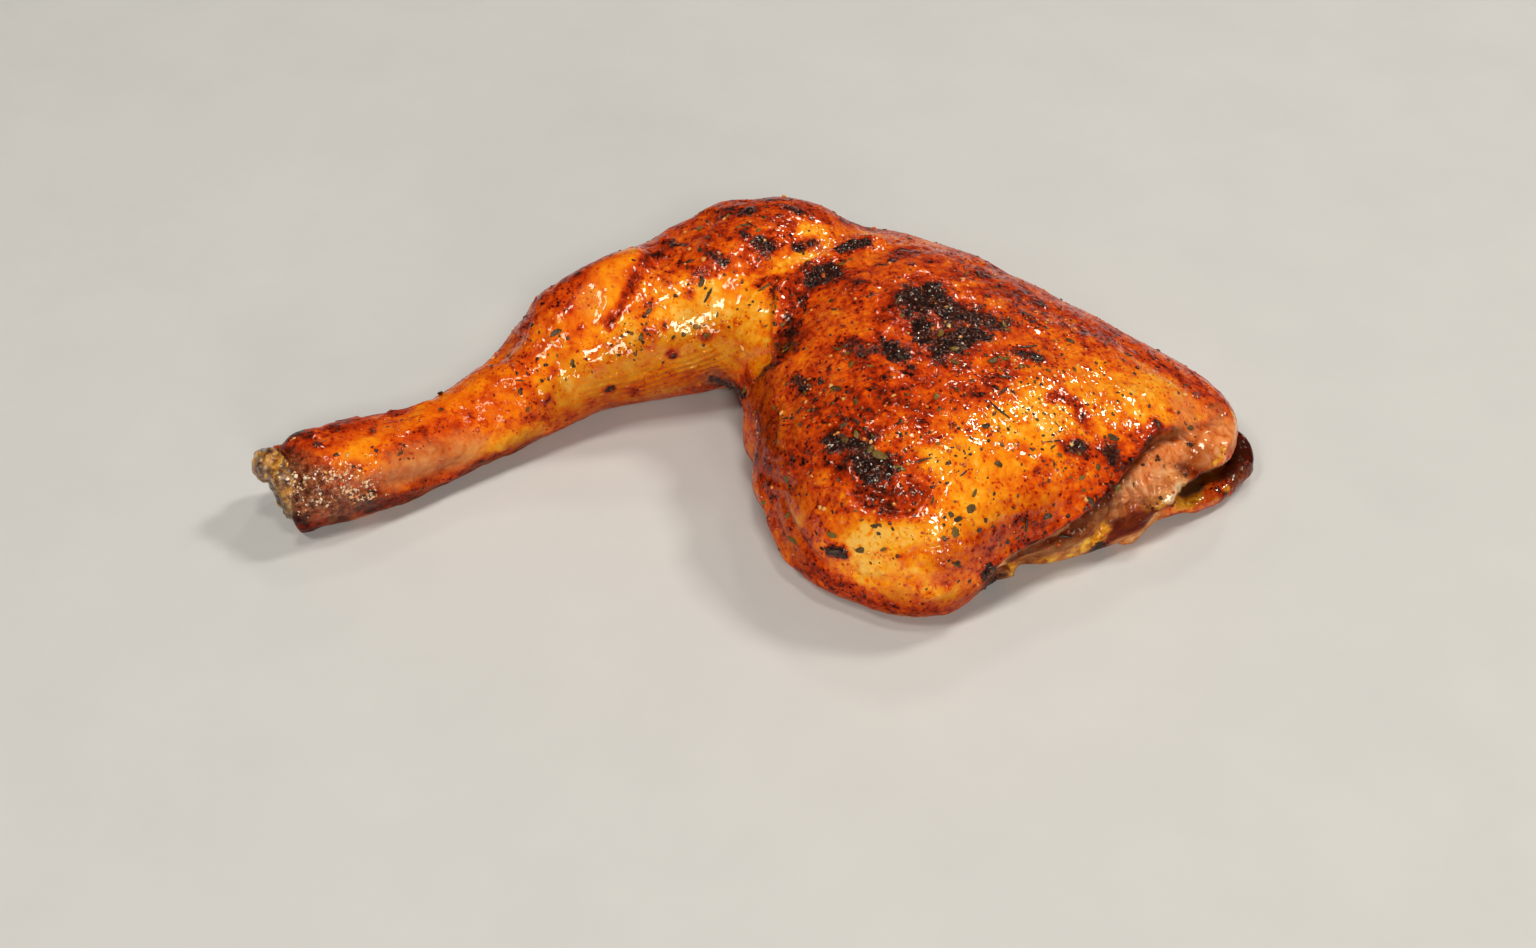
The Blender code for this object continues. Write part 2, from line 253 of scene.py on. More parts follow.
THIGH = [
    (0.5, 8.0, 10.0), (0.5, -8.0, 9.0), (2.5, -24.0, 8.0), (6.5, -41.0, 7.0), (14.5, -53.0, 6.0),
    (28.0, -60.5, 6.0), (40.0, -62.8, 6.0), (50.0, -58.5, 6.0), (60.0, -50.5, 6.0), (76.0, -43.2, 7.0),
    (92.0, -36.0, 8.0), (102.5, -28.0, 12.0), (109.8, -12.5, 15.0), (104.2, 3.0, 14.5),
    (85.5, 16.0, 13.5), (66.0, 28.4, 15.0), (44.0, 40.5, 17.0), (22.0, 46.0, 17.0), (5.0, 30.0, 14.0),
]
THIGH_TOP = 37.5
LOBE = ((54.5, -51.0, 3.6), (6.0, 4.6, 3.8))
HOLLOW = [
    (92.0, -30.6, 6.4, 2.8, 2.2), (98.0, -26.6, 7.2, 5.4, 4.4), (104.0, -21.0, 7.8, 6.4, 5.2),
    (107.6, -14.0, 8.2, 5.6, 5.0), (108.6, -7.5, 8.4, 3.4, 3.2),
]
LIP = [
    (82.0, -34.0, 2.0, 3.6, 2.4), (90.0, -31.4, 2.3, 3.4, 2.3), (97.0, -28.2, 1.7, 2.7, 1.9),
    (103.5, -24.6, 1.9, 2.9, 2.1), (108.4, -19.8, 2.3, 2.8, 2.4), (111.0, -15.0, 3.6, 2.8, 3.1),
    (110.6, -10.6, 5.4, 2.6, 3.6), (106.6, -6.6, 6.4, 2.4, 3.1),
]
TRAY = [
    (84.0, -29.0, 1.4, 4.0, 1.9), (92.0, -27.0, 1.6, 6.0, 2.0), (98.5, -22.4, 1.6, 7.6, 1.9),
    (103.4, -15.6, 1.9, 8.0, 2.0), (104.0, -8.0, 2.6, 6.0, 2.2),
]
ANKLE_CUT = (-99.4, -26.6, 8.6)
ANKLE_FACE = (-0.88, -0.45, -0.08)
STUB = ((0.0, 0.3, -5.0), (7.9, 7.7, 12.5))
STUB_END = (0.0, 0.0, 2.6)
STUB_FACE = (-0.764, -0.628, -0.15)
KNOB = ((-3.9, 3.2, 1.8), (4.7, 4.6, 4.6))


def to_m(p):
    return Vector((np.array(p, float) + SHIFT) * MM)


def skin_over(name, rings, poles):
    bm = bmesh.new()
    rows = [[bm.verts.new(to_m(p)) for p in ring] for ring in rings]
    first, last = bm.verts.new(to_m(poles[0])), bm.verts.new(to_m(poles[1]))
    for a, b in zip(rows, rows[1:]):
        for i in range(len(a)):
            j = (i + 1) % len(a)
            bm.faces.new((a[i], a[j], b[j], b[i]))
    for i in range(len(rows[0])):
        j = (i + 1) % len(rows[0])
        bm.faces.new((first, rows[0][j], rows[0][i]))
        bm.faces.new((last, rows[-1][i], rows[-1][j]))
    bmesh.ops.recalc_face_normals(bm, faces=bm.faces)
    mesh = bpy.data.meshes.new(name)
    bm.to_mesh(mesh)
    bm.free()
    return mesh


def limb(name, stations, sides=32, steps=4, full=2.3, tip=2.2):
    line = smooth_line(stations, steps)
    way = np.gradient(line[:, :3], axis=0)
    way /= np.linalg.norm(way, axis=1)[:, None]
    rings = []
    ends = 5
    for k in range(len(line)):
        along = way[k]
        across = np.cross((0, 0, 1.0), along)
        across /= np.linalg.norm(across)
        up = np.cross(along, across)
        wide, high = line[k, 3], line[k, 4]
        ring = []
        for j in range(sides):
            t = 2 * math.pi * j / sides
            c, s = math.cos(t), math.sin(t)
            r = (abs(c) ** full + abs(s) ** full) ** (-1 / full)
            ring.append(line[k, :3] + across * wide * r * c + up * high * r * s)
        rings.append(np.array(ring))

    def round_off(ring, middle, direction, depth):
        made = []
        for j in range(1, ends):
            t = math.pi / 2 * j / ends
            made.append(middle + (ring - middle) * math.cos(t) ** 0.8
                        + direction * depth * math.sin(t))
        return made, middle + direction * depth
    low, low_pole = round_off(rings[0], line[0, :3], -way[0], tip)
    top, top_pole = round_off(rings[-1], line[-1, :3], way[-1], line[-1, 3] * 0.6)
    return skin_over(name, low[::-1] + rings + top, (low_pole, top_pole))


def ball(name, middle, radii, sides=32, levels=16):
    m, r = np.array(middle), np.array(radii)
    rings = [[m + r * (math.sin(a) * math.cos(b), math.sin(a) * math.sin(b), math.cos(a))
              for b in np.linspace(0, 2 * math.pi, sides, endpoint=False)]
             for a in np.linspace(0, math.pi, levels + 1)[1:-1]]
    return skin_over(name, rings, (m + r * (0, 0, 1), m - r * (0, 0, 1)))


def thigh_height(x, y):
    fall = 1 / (1 + math.exp(-(x - 76) / 12))
    swell = math.exp(-((x - 30) / 34) ** 2 - ((y - 4) / 30) ** 2)
    return THIGH_TOP - 13.0 * fall + 3.0 * swell - 2.0 * math.exp(-((x - 4) / 12) ** 2)


def thigh(name, sides=72, levels=24):
    outline = smooth_ring(THIGH, sides)
    middle = np.array(THIGH_MIDDLE)
    rings = []
    for k in range(1, levels):
        t = math.pi * k / levels
        upper = t < math.pi / 2
        s = math.sin(t) ** (0.66 if upper else 0.45)
        c = abs(math.cos(t))
        ring = []
        for q in outline:
            x, y = middle + (q[:2] - middle) * s
            if upper:
                z = q[2] + (thigh_height(x, y) - q[2]) * c ** 0.9
            else:
                z = -0.9 + (q[2] + 0.9) * (1 - c ** 0.8)
            ring.append((x, y, z))
        rings.append(ring)
    return skin_over(name, rings, ((*middle, thigh_height(*middle)), (*middle, -0.9)))


def facing(point, direction):
    out = Vector(direction).normalized()
    across = Vector((0, 0, 1)).cross(out).normalized()
    up = out.cross(across)
    m = Matrix((across, up, out)).transposed().to_4x4()
    m.translation = point
    return m


def lobe(name, axes, place, radii, grow=0.0, subdivisions=4):
    bm = bmesh.new()
    m = axes @ Matrix.Translation(Vector(place) * MM) @ Matrix.Diagonal(
        [(r + grow) * MM for r in radii] + [1])
    bmesh.ops.create_icosphere(bm, subdivisions=subdivisions, radius=1.0, matrix=m)
    mesh = bpy.data.meshes.new(name)
    bm.to_mesh(mesh)
    bm.free()
    return mesh


flesh = remeshed(joined("flesh", [limb("drumstick", SHANK), ball("knee", *KNEE), thigh("thigh"),
                                  ball("lobe", *LOBE)]), 1.25, 20)
OPENED = [
    (90.5, -31.6, 7.4, 2.6, 2.6), (95.0, -30.6, 9.4, 4.8, 5.7), (100.0, -26.6, 9.5, 6.8, 6.1),
    (105.5, -21.6, 8.5, 6.8, 5.2), (109.0, -14.2, 8.8, 5.8, 5.2), (110.4, -6.6, 9.0, 3.6, 3.4),
]
hollow = add("hollow_cutter", limb("hollow_cutter", OPENED, tip=3.0))
bm = bmesh.new()
bm.from_mesh(hollow.data)
hollow_tree = BVHTree.FromBMesh(bm)
bm.free()
work = add("work", flesh)
m = work.modifiers.new("hollow", "BOOLEAN")
m.operation, m.solver, m.object = "DIFFERENCE", "EXACT", hollow
flesh = taken(work)
bpy.data.objects.remove(hollow, do_unlink=True)
flesh = joined("flesh", [flesh, limb("tray", TRAY, full=2.6), limb("lip", LIP, full=2.6)])

# the ankle's cut and the foot, pressed flat
ankle = facing(to_m(ANKLE_CUT), ANKLE_FACE)
ANKLE_OUT = np.array(ankle.to_3x3().col[2])
ANKLE_AT = np.array(ankle.translation) / MM
ANKLE_ACROSS, ANKLE_UP = np.array(ankle.to_3x3().col[0]), np.array(ankle.to_3x3().col[1])


def pressed(co, floor=0.0):
    beyond = np.clip((co - ANKLE_AT) @ ANKLE_OUT, 0, None)
    co = co - beyond[:, None] * ANKLE_OUT
    co[:, 2] = np.maximum(co[:, 2], floor)
    return co


co, no = read(flesh)
write(flesh, pressed(co))
GRAIN = 0.56
skin = remeshed(flesh, GRAIN, 10)
co, no = read(skin)
write(skin, pressed(co))
edges = edges_of(skin)
print("skin points", len(skin.vertices), "faces", len(skin.polygons))

bm = bmesh.new()
bm.from_mesh(skin)
tree = BVHTree.FromBMesh(bm)
bm.free()


def at(px, py):
    """Where a pixel of the photo's frame falls on the leg, mm in the row frame."""
    hit = tree.ray_cast(Vector(CAM_AT * MM), sight(px, py))
    if hit[0] is None:                       # just off the outline: the nearest point
        p = Vector(CAM_AT * MM) + sight(px, py) * 0.48
        hit = tree.find_nearest(p)
    return np.array(hit[0]) / MM


def trace(points, steps=5):
    """A line over the skin through pixels of the photo's frame."""
    pts = smooth_line(points, steps)
    return np.array([at(*p) for p in pts])


def from_line(co, no, line):
    """For each point: distance to the line, which side it is on (more than 0 to the
    left, seen from outside) and how far along the nearest place is, 0 to 1."""
    n = len(line) - 1
    best = np.full(len(co), 1e9)
    side = np.zeros(len(co))
    along = np.zeros(len(co))
    low, high = line.min(0) - 30, line.max(0) + 30
    near_box = np.where(((co > low) & (co < high)).all(1))[0]
    p, q = co[near_box], no[near_box]
    b_, s_, a_ = best[near_box], side[near_box], along[near_box]
    for i in range(n):
        a, d = line[i], line[i + 1] - line[i]
        dd = d @ d
        if dd < 1e-9:
            continue
        t = np.clip((p - a) @ d / dd, 0, 1)
        e = p - a - t[:, None] * d
        far = np.linalg.norm(e, axis=1)
        near = far < b_
        turn = np.einsum("ij,ij->i", np.cross(d, e), q)
        b_ = np.where(near, far, b_)
        s_ = np.where(near, np.sign(turn), s_)
        a_ = np.where(near, (i + t) / n, a_)
    best[near_box], side[near_box], along[near_box] = b_, s_, a_
    return best, side, along


def from_spot(co, px, py):
    return np.linalg.norm(co - at(px, py), axis=1)



def at_ends(along, share=0.15):
    """1 along a line, falling to 0 at both its ends."""
    return ramp(along, 0, share) * (1 - ramp(along, 1 - share, 1))


def out_of_hollow(co):
    """mm from the hollow's walls, less than 0 inside it."""
    found = np.full(len(co), 99.0)
    for i in np.where((np.abs(co - np.array((101.0, -20.0, 9.0)) - SHIFT) < 24).all(1))[0]:
        q = Vector(co[i] * MM)
        near_, normal_, _, far_ = hollow_tree.find_nearest(q)
        found[i] = far_ / MM * (1 if (q - near_).dot(normal_) > 0 else -1)
    return found


# ------------------------------------------------------------------ large relief
FOLDS = [(2.0, 0.3, 2.6, 0.9), (-5.5, 0.15, 2.0, -0.9), (-11.0, 0.05, 3.0, 0.9),
         (-19.0, -0.1, 2.4, -0.8), (-27.0, -0.2, 3.6, 0.8), (-36.0, -0.35, 2.6, -0.7)]

KNEE_EDGE = [(752, 392), (757, 385), (768, 371), (777, 360), (776, 345), (773, 327), (773, 308),
             (774, 291), (791, 279), (807, 265), (822, 258), (835, 251), (850, 245), (866, 242),
             (882, 242), (896, 247)]
CUT_EDGE = [(982, 594), (992, 574), (1007, 559), (1021, 550), (1039, 541), (1059, 531), (1079, 519),
            (1098, 505), (1116, 487), (1128, 470), (1145, 449), (1156, 438), (1167, 429), (1180, 427),
            (1194, 431), (1206, 438)]

p = co - SHIFT
x, y, z = p.T
s_hollow = out_of_hollow(co)
hollow_wall = 1 - ramp(s_hollow, 0.25, 1.1)
nx, ny, nz = no.T
upward = ramp(nz, -0.1, 0.35)
rise = np.zeros(len(co))

# thigh skin lapped over the knee; s is more than 0 on the thigh
far, side, knee_along = from_line(co, no, trace(KNEE_EDGE))
rag = 0.55 * noise(co, 1.7, 3) + 0.5 * noise(co, 4.5, 4)
s_knee = -far * side + rag
knee_ends = at_ends(knee_along, 0.1) * upward
rise += 1.5 * ramp(s_knee, -0.45, 0.45) * np.exp(-np.clip(s_knee, 0, None) / 14) * knee_ends
rise += 0.35 * np.exp(-((s_knee - 0.8) / 0.9) ** 2) * knee_ends

# bare meat set back under the skin's cut edge; s is more than 0 on the meat
far, side, cut_along = from_line(co, no, trace(CUT_EDGE))
cut_line_mm = trace(CUT_EDGE)
cut_length = np.linalg.norm(np.diff(cut_line_mm, axis=0), axis=1).sum()
s_cut = -far * side + 0.35 * noise(co, 1.9, 5) + 0.4 * noise(co, 5.0, 6)
cut_fade = ramp(cut_along, 0, 0.05) * (1 - ramp(cut_along, 0.84, 0.97))
bare = ramp(s_cut, -0.6, 0.9) * ramp(x, 46, 54) * (1 - ramp(y, 2, 10)) * ramp(-s_cut, -30, -24) * cut_fade
rise -= 2.1 * bare * (1 - 0.7 * ramp(s_cut, 3, 16))
rise -= 0.9 * np.exp(-((s_cut - 0.9) / 0.9) ** 2) * cut_fade * ramp(cut_along, 0.25, 0.4)
rise += 0.45 * np.exp(-((s_cut + 0.9) / 1.1) ** 2) * cut_fade

wall = ramp(-nx, 0.3, 0.85) * ramp(x, -4, 2) * (1 - ramp(x, 16, 24)) * ramp(z, 0, 5)
for middle, lean, wide, high in FOLDS:
    rise += high * wall * np.exp(-((y - middle - lean * (z - 12)) / wide) ** 2)
rise += 0.35 * np.sin(x / 4.1 + 1.7 * np.sin(y / 6.3)) * np.sin(y / 4.7 + 1.3 * np.sin(z / 5.2))
under = ramp(-nz, 0.6, 0.95)
rise *= 1 - under

# ------------------------------------------------------------------ creases, folds and flaps
# kind, half width, height, points; a step is raised to the right of its line
LINES = [
    ("groove", 1.5, 0.55, [(678, 248), (660, 260), (636, 283), (622, 300), (611, 319), (594, 340)]),
    ("step", 4.0, 0.5, [(678, 248), (660, 260), (636, 283), (622, 300), (611, 319), (594, 340)]),
    ("ridge", 3.0, 0.5, [(560, 335), (585, 300), (610, 280), (640, 262)]),
    ("ridge", 6.5, 3.6, [(536, 306), (560, 277), (590, 257), (622, 244), (650, 238)]),
    ("groove", 4.5, 1.9, [(668, 240), (686, 228), (704, 219), (718, 212)]), 
    ("groove", 4.0, 1.4, [(490, 362), (508, 340), (522, 326)]),
    ("ridge", 7.0, 1.0, [(700, 222), (730, 202), (765, 199), (800, 206), (850, 222)]),
    ("step", 6.0, 1.2, [(828, 480), (838, 483), (848, 487), (855, 498), (860, 504), (870, 506), (880, 508),
                        (890, 513), (900, 515), (911, 513), (919, 506), (926, 497), (932, 486), (938, 474)]),
    ("groove", 1.0, 0.5, [(828, 478), (840, 481), (850, 487), (857, 498), (864, 503), (880, 506),
                          (892, 511), (906, 512), (916, 506)]),
    ("ridge", 0.8, 0.6, [(936, 458), (926, 465), (919, 472), (915, 483)]),
    ("groove", 0.9, 0.5, [(944, 462), (946, 478), (941, 496), (930, 510)]),
    ("ridge", 1.3, 0.6, [(776, 319), (790, 308), (803, 300), (814, 296)]),
    ("groove", 1.0, 0.4, [(781, 330), (796, 318), (812, 309)]),
    ("groove", 1.3, 0.9, [(796, 356), (782, 366), (768, 375), (757, 381), (748, 388)]),
    ("groove", 0.9, 0.7, [(743, 376), (746, 363), (755, 357), (770, 354), (786, 352)]),
    ("ridge", 1.0, 0.9, [(655, 245), (668, 238), (684, 231), (700, 226), (712, 224)]),
    ("groove", 0.8, 0.6, [(660, 250), (676, 243), (696, 235), (712, 231)]),
    ("groove", 4.5, 0.9, [(395, 430), (425, 428), (455, 418), (490, 403), (520, 385)]),
    ("ridge", 2.6, 0.9, [(340, 478), (375, 470), (410, 462), (450, 454), (485, 444)]),
    ("groove", 1.6, 0.5, [(360, 488), (395, 480), (430, 474), (465, 462)]),
    ("ridge", 1.2, 0.5, [(350, 503), (390, 492), (430, 484), (470, 470)]),
    ("ridge", 1.5, 0.7, [(296, 432), (305, 425), (318, 420)]),
    ("ridge", 1.6, 0.8, [(330, 416), (345, 411), (360, 410)]),
    ("ridge", 1.2, 0.6, [(384, 408), (400, 404), (418, 401), (434, 397)]),
    ("groove", 1.0, 0.5, [(318, 424), (322, 432), (320, 442)]),
    ("groove", 1.2, 0.6, [(762, 470), (771, 478), (783, 484), (797, 486)]),
    ("ridge", 2.4, 1.0, [(759, 476), (763, 495), (770, 520), (782, 548), (795, 570)]),
    ("groove", 1.2, 0.7, [(776, 488), (784, 508), (796, 530), (812, 552), (835, 572)]),
    ("ridge", 1.5, 0.5, [(783, 402), (785, 422), (786, 446)]),
    ("groove", 1.0, 0.6, [(776, 405), (778, 425), (779, 447)]),
    ("groove", 1.0, 0.5, [(791, 400), (794, 422), (797, 448)]),
    ("groove", 0.8, 0.4, [(905, 556), (925, 548), (945, 545), (962, 540)]),
    ("ridge", 0.9, 0.5, [(908, 575), (914, 588), (928, 597), (944, 592), (955, 583)]),
    ("groove", 0.9, 0.4, [(848, 572), (872, 580), (898, 582)]),
    ("ridge", 1.1, 0.5, [(1005, 572), (1030, 566), (1060, 556), (1085, 541), (1105, 524)]),
    ("groove", 1.0, 0.6, [(1012, 562), (1040, 553), (1070, 541), (1092, 524)]),
    ("groove", 1.0, 0.7, [(1094, 545), (1108, 530), (1120, 515), (1140, 508), (1165, 504)]),
    ("ridge", 1.0, 0.9, [(1184, 474), (1178, 484), (1173, 495), (1170, 506)]),
    ("ridge", 0.8, 0.7, [(1186, 475), (1200, 472), (1212, 468), (1220, 456), (1227, 440), (1233, 422), (1234, 410)]),
    ("groove", 1.3, 0.6, [(1168, 474), (1180, 455), (1196, 440), (1212, 425)]),
    ("ridge", 0.8, 0.4, [(1140, 455), (1155, 460), (1172, 458)]),
    ("groove", 0.9, 0.7, [(1176, 428), (1196, 424), (1207, 418), (1219, 411), (1229, 403)]),
    ("groove", 0.7, 0.35, [(1144, 470), (1158, 480), (1170, 482)]),
    ("ridge", 0.8, 0.5, [(1180, 494), (1196, 490), (1216, 488), (1236, 478)]),
    ("groove", 0.8, 0.5, [(1182, 503), (1198, 505), (1216, 500), (1232, 488)]),
    ("groove", 0.6, 0.35, [(890, 285), (920, 278), (950, 284), (962, 296)]),
    ("ridge", 0.9, 0.5, [(886, 292), (915, 284), (945, 286), (958, 298)]),
    ("groove", 0.7, 0.4, [(850, 340), (848, 355), (851, 372), (858, 386)]),
    ("ridge", 0.8, 0.35, [(958, 278), (975, 284), (995, 284)]),
    ("ridge", 0.7, 0.3, [(925, 372), (945, 366), (965, 370)]),
    ("ridge", 0.8, 0.35, [(1010, 395), (1022, 388), (1034, 386), (1042, 400), (1046, 418)]),
    ("groove", 0.5, 0.3, [(1048, 408), (1060, 419), (1072, 433)]),
    ("groove", 0.8, 0.35, [(1010, 470), (1035, 476), (1060, 470)]),
    ("ridge", 0.8, 0.3, [(985, 505), (1015, 512), (1045, 505)]),
]
for kind, wide, high, points in LINES:
    far, side, along = from_line(co, no, trace(points, 4))
    if kind == "ridge":
        rise += high * np.exp(-(far / wide) ** 2) * at_ends(along)
    elif kind == "groove":
        rise -= high * np.exp(-(far / wide) ** 2) * at_ends(along)
    else:
        s = -far * side + 0.3 * noise(co, 2.2, 7)
        if kind == "stepl":
            s = -s
        rise += (high * ramp(s, -0.5, 0.5) * np.exp(-np.clip(s, 0, None) / wide)
                 * at_ends(along) * np.exp(-(far / (3 * wide)) ** 2))

# ribs of tendon under the tight skin of the drumstick's side
far, side, along = from_line(co, no, trace([(560, 404), (600, 394), (640, 384), (680, 373), (715, 361), (745, 350)]))
d = far * side
ribs = np.exp(-(d / 4.2) ** 2) * at_ends(along, 0.25)
phase = (d + 0.8 * noise(co, 7, 8) + 0.25 * noise(co, 2.6, 13)) / 1.6

# wrinkles across the bare meat
arc = cut_along * cut_length
band = bare * ramp(cut_along, 0.42, 0.50) * (1 - ramp(cut_along, 0.60, 0.70)) * ramp(s_cut, 0.8, 2.4) * (1 - ramp(s_cut, 7, 11))
phase = np.where(band > 0.02, (arc + 1.1 * noise(co, 4, 9) + 0.5 * s_cut) / 2.3, phase)
pleat = np.maximum(0.85 * ribs, band)
tight = np.maximum.reduce([
    np.exp(-(from_line(co, no, trace([(575, 372), (620, 355), (665, 335), (705, 315), (748, 305)]))[0] / 9.0) ** 2),
    np.exp(-(from_line(co, no, trace([(590, 320), (610, 295), (640, 275)]))[0] / 6.0) ** 2),
    0.7 * np.exp(-(from_line(co, no, trace([(340, 455), (400, 440), (450, 425)]))[0] / 7.0) ** 2)])
rise += 0.18 * band * np.sin(2 * math.pi * phase)

# thin bright-edged folds of slack skin
for high, points in [(0.34, [(843, 482), (853, 494), (870, 502), (890, 504), (908, 498)]),
                     (0.28, [(852, 478), (864, 488), (882, 494), (902, 491)]),
                     (0.26, [(852, 424), (866, 431), (884, 441)]), (0.26, [(776, 312), (780, 326), (790, 340)]),
                     (0.24, [(776, 405), (784, 424), (786, 446)]), (0.24, [(905, 470), (922, 482), (944, 486)]),
                     (0.22, [(1020, 452), (1046, 470), (1062, 492)]), (0.22, [(1078, 372), (1092, 392), (1096, 412)])]:
    far, side, along = from_line(co, no, trace(points))
    rise += high * np.exp(-(far / 0.75) ** 2) * at_ends(along) - 0.5 * high * np.exp(-((far - 1.5) / 0.9) ** 2) * at_ends(along)

# crumpled skin in the crook
crook = np.exp(-(from_line(co, no, trace([(700, 388), (722, 384), (745, 392), (752, 402)]))[0] / 4.5) ** 2)
rise += crook * (0.9 * ridged(co, 2.6, 3, 10) - 0.35)

# ------------------------------------------------------------------ browning, burnt spots
def stroke(radius, points, soft=0.5, wobble=0.3, seed=0, size=None):
    """1 inside a band of skin along a line of pixels, 0 outside, with an uneven edge."""
    far, _, _ = from_line(co, no, trace(points, 3) if len(points) > 1 else
                          np.array([at(*points[0]), at(*points[0]) + (0.01, 0, 0)]))
    far = far + radius * wobble * 1.6 * fbm(co, size or max(radius * 1.1, 1.2), 3, 40 + seed)
    return 1 - ramp(far, radius * (1 - soft), radius * (1 + soft))


CHAR = [
    (1.0, 2.2, [(841, 254), (850, 250), (862, 249)]), (1.0, 3.0, [(812, 283), (820, 280), (830, 276)]),
    (0.8, 1.2, [(859, 286)]), (0.9, 5.0, [(915, 302), (935, 302), (955, 315)]),
    (1.0, 2.2, [(924, 325), (924, 336)]), (1.0, 4.2, [(945, 347), (965, 335)]),
    (1.0, 2.2, [(888, 350), (902, 355)]), (0.9, 1.2, [(911, 369)]), (0.7, 3.0, [(980, 318), (1000, 325)]),
    (0.5, 1.6, [(853, 345), (860, 352), (875, 350)]), (1.0, 1.8, [(832, 440), (838, 445)]),
    (1.0, 1.5, [(853, 444), (862, 446)]), (1.0, 2.6, [(858, 465), (870, 468), (885, 465)]),
    (0.8, 1.2, [(871, 437)]), (0.8, 1.5, [(1022, 355), (1040, 357)]), (0.8, 1.4, [(1065, 447), (1080, 446)]),
    (1.0, 1.7, [(1110, 450), (1113, 458)]), (1.0, 1.7, [(751, 214)]), (1.0, 2.0, [(760, 245), (766, 248)]),
    (0.8, 1.2, [(745, 237)]), (0.7, 1.3, [(786, 212), (797, 216)]), (0.75, 1.6, [(800, 247), (812, 243)]),
    (0.7, 1.2, [(675, 241), (686, 242)]), (0.8, 1.4, [(710, 256), (722, 262)]),
    (0.6, 1.5, [(706, 268), (696, 276)]), (0.8, 1.4, [(714, 380), (722, 384)]),
    (1.0, 1.7, [(733, 386), (744, 391)]), (1.0, 1.0, [(610, 389)]), (0.7, 1.4, [(763, 379), (780, 368)]),
    (1.0, 1.2, [(832, 551), (842, 553)]), (1.0, 1.5, [(988, 571), (992, 575)]),
    (0.9, 2.6, [(990, 596), (1000, 602)]), (0.7, 1.3, [(798, 381), (806, 385)]),
    (0.6, 1.0, [(893, 262)]), (0.6, 1.0, [(911, 265)]), (0.7, 1.1, [(1043, 304)]),
    (0.6, 1.2, [(1024, 316), (1030, 318)]), (0.7, 1.2, [(1156, 422)]), (0.7, 0.9, [(1194, 437)]),
    (0.7, 0.9, [(1197, 390)]), (0.7, 1.1, [(371, 493)]), (0.7, 0.9, [(372, 429)]), (0.6, 1.1, [(318, 445)]),
    (0.6, 0.9, [(402, 446)]), (0.5, 2.4, [(300, 492), (312, 487)]), (0.6, 1.2, [(547, 402)]),
    (0.5, 1.0, [(554, 371)]), (0.5, 1.1, [(649, 308)]), (0.5, 0.9, [(667, 284)]), (0.7, 1.0, [(690, 292)]),
    (0.5, 1.1, [(646, 332), (653, 335)]), (0.6, 0.9, [(665, 325)]), (0.6, 1.0, [(706, 337)]),
    (0.8, 1.0, [(673, 355)]), (0.6, 0.9, [(952, 427)]), (0.6, 0.9, [(967, 431)]),
    (0.35, 1.8, [(1250, 470), (1245, 480)]), (0.8, 2.0, [(1096, 550), (1108, 550)]),
    (0.55, 0.7, [(1161, 455), (1166, 461), (1171, 467)]), (0.40, 1.1, [(1179, 461), (1185, 469)]), (0.35, 0.9, [(1138, 487), (1142, 496)]),
    (0.45, 0.8, [(1150, 505), (1154, 512)]), (0.55, 1.6, [(776, 345), (778, 358)]), (0.5, 1.2, [(773, 292), (780, 287)]),
]
char = np.zeros(len(co))
for n, (amount, radius, points) in enumerate(CHAR):
    char = np.maximum(char, amount * stroke(radius, points, 0.75, 0.55, n))
char = np.maximum(char, 0.65 * np.exp(-(s_knee / 0.9) ** 2) * knee_ends * ramp(noise(co, 5, 12), -0.5, 0.2))

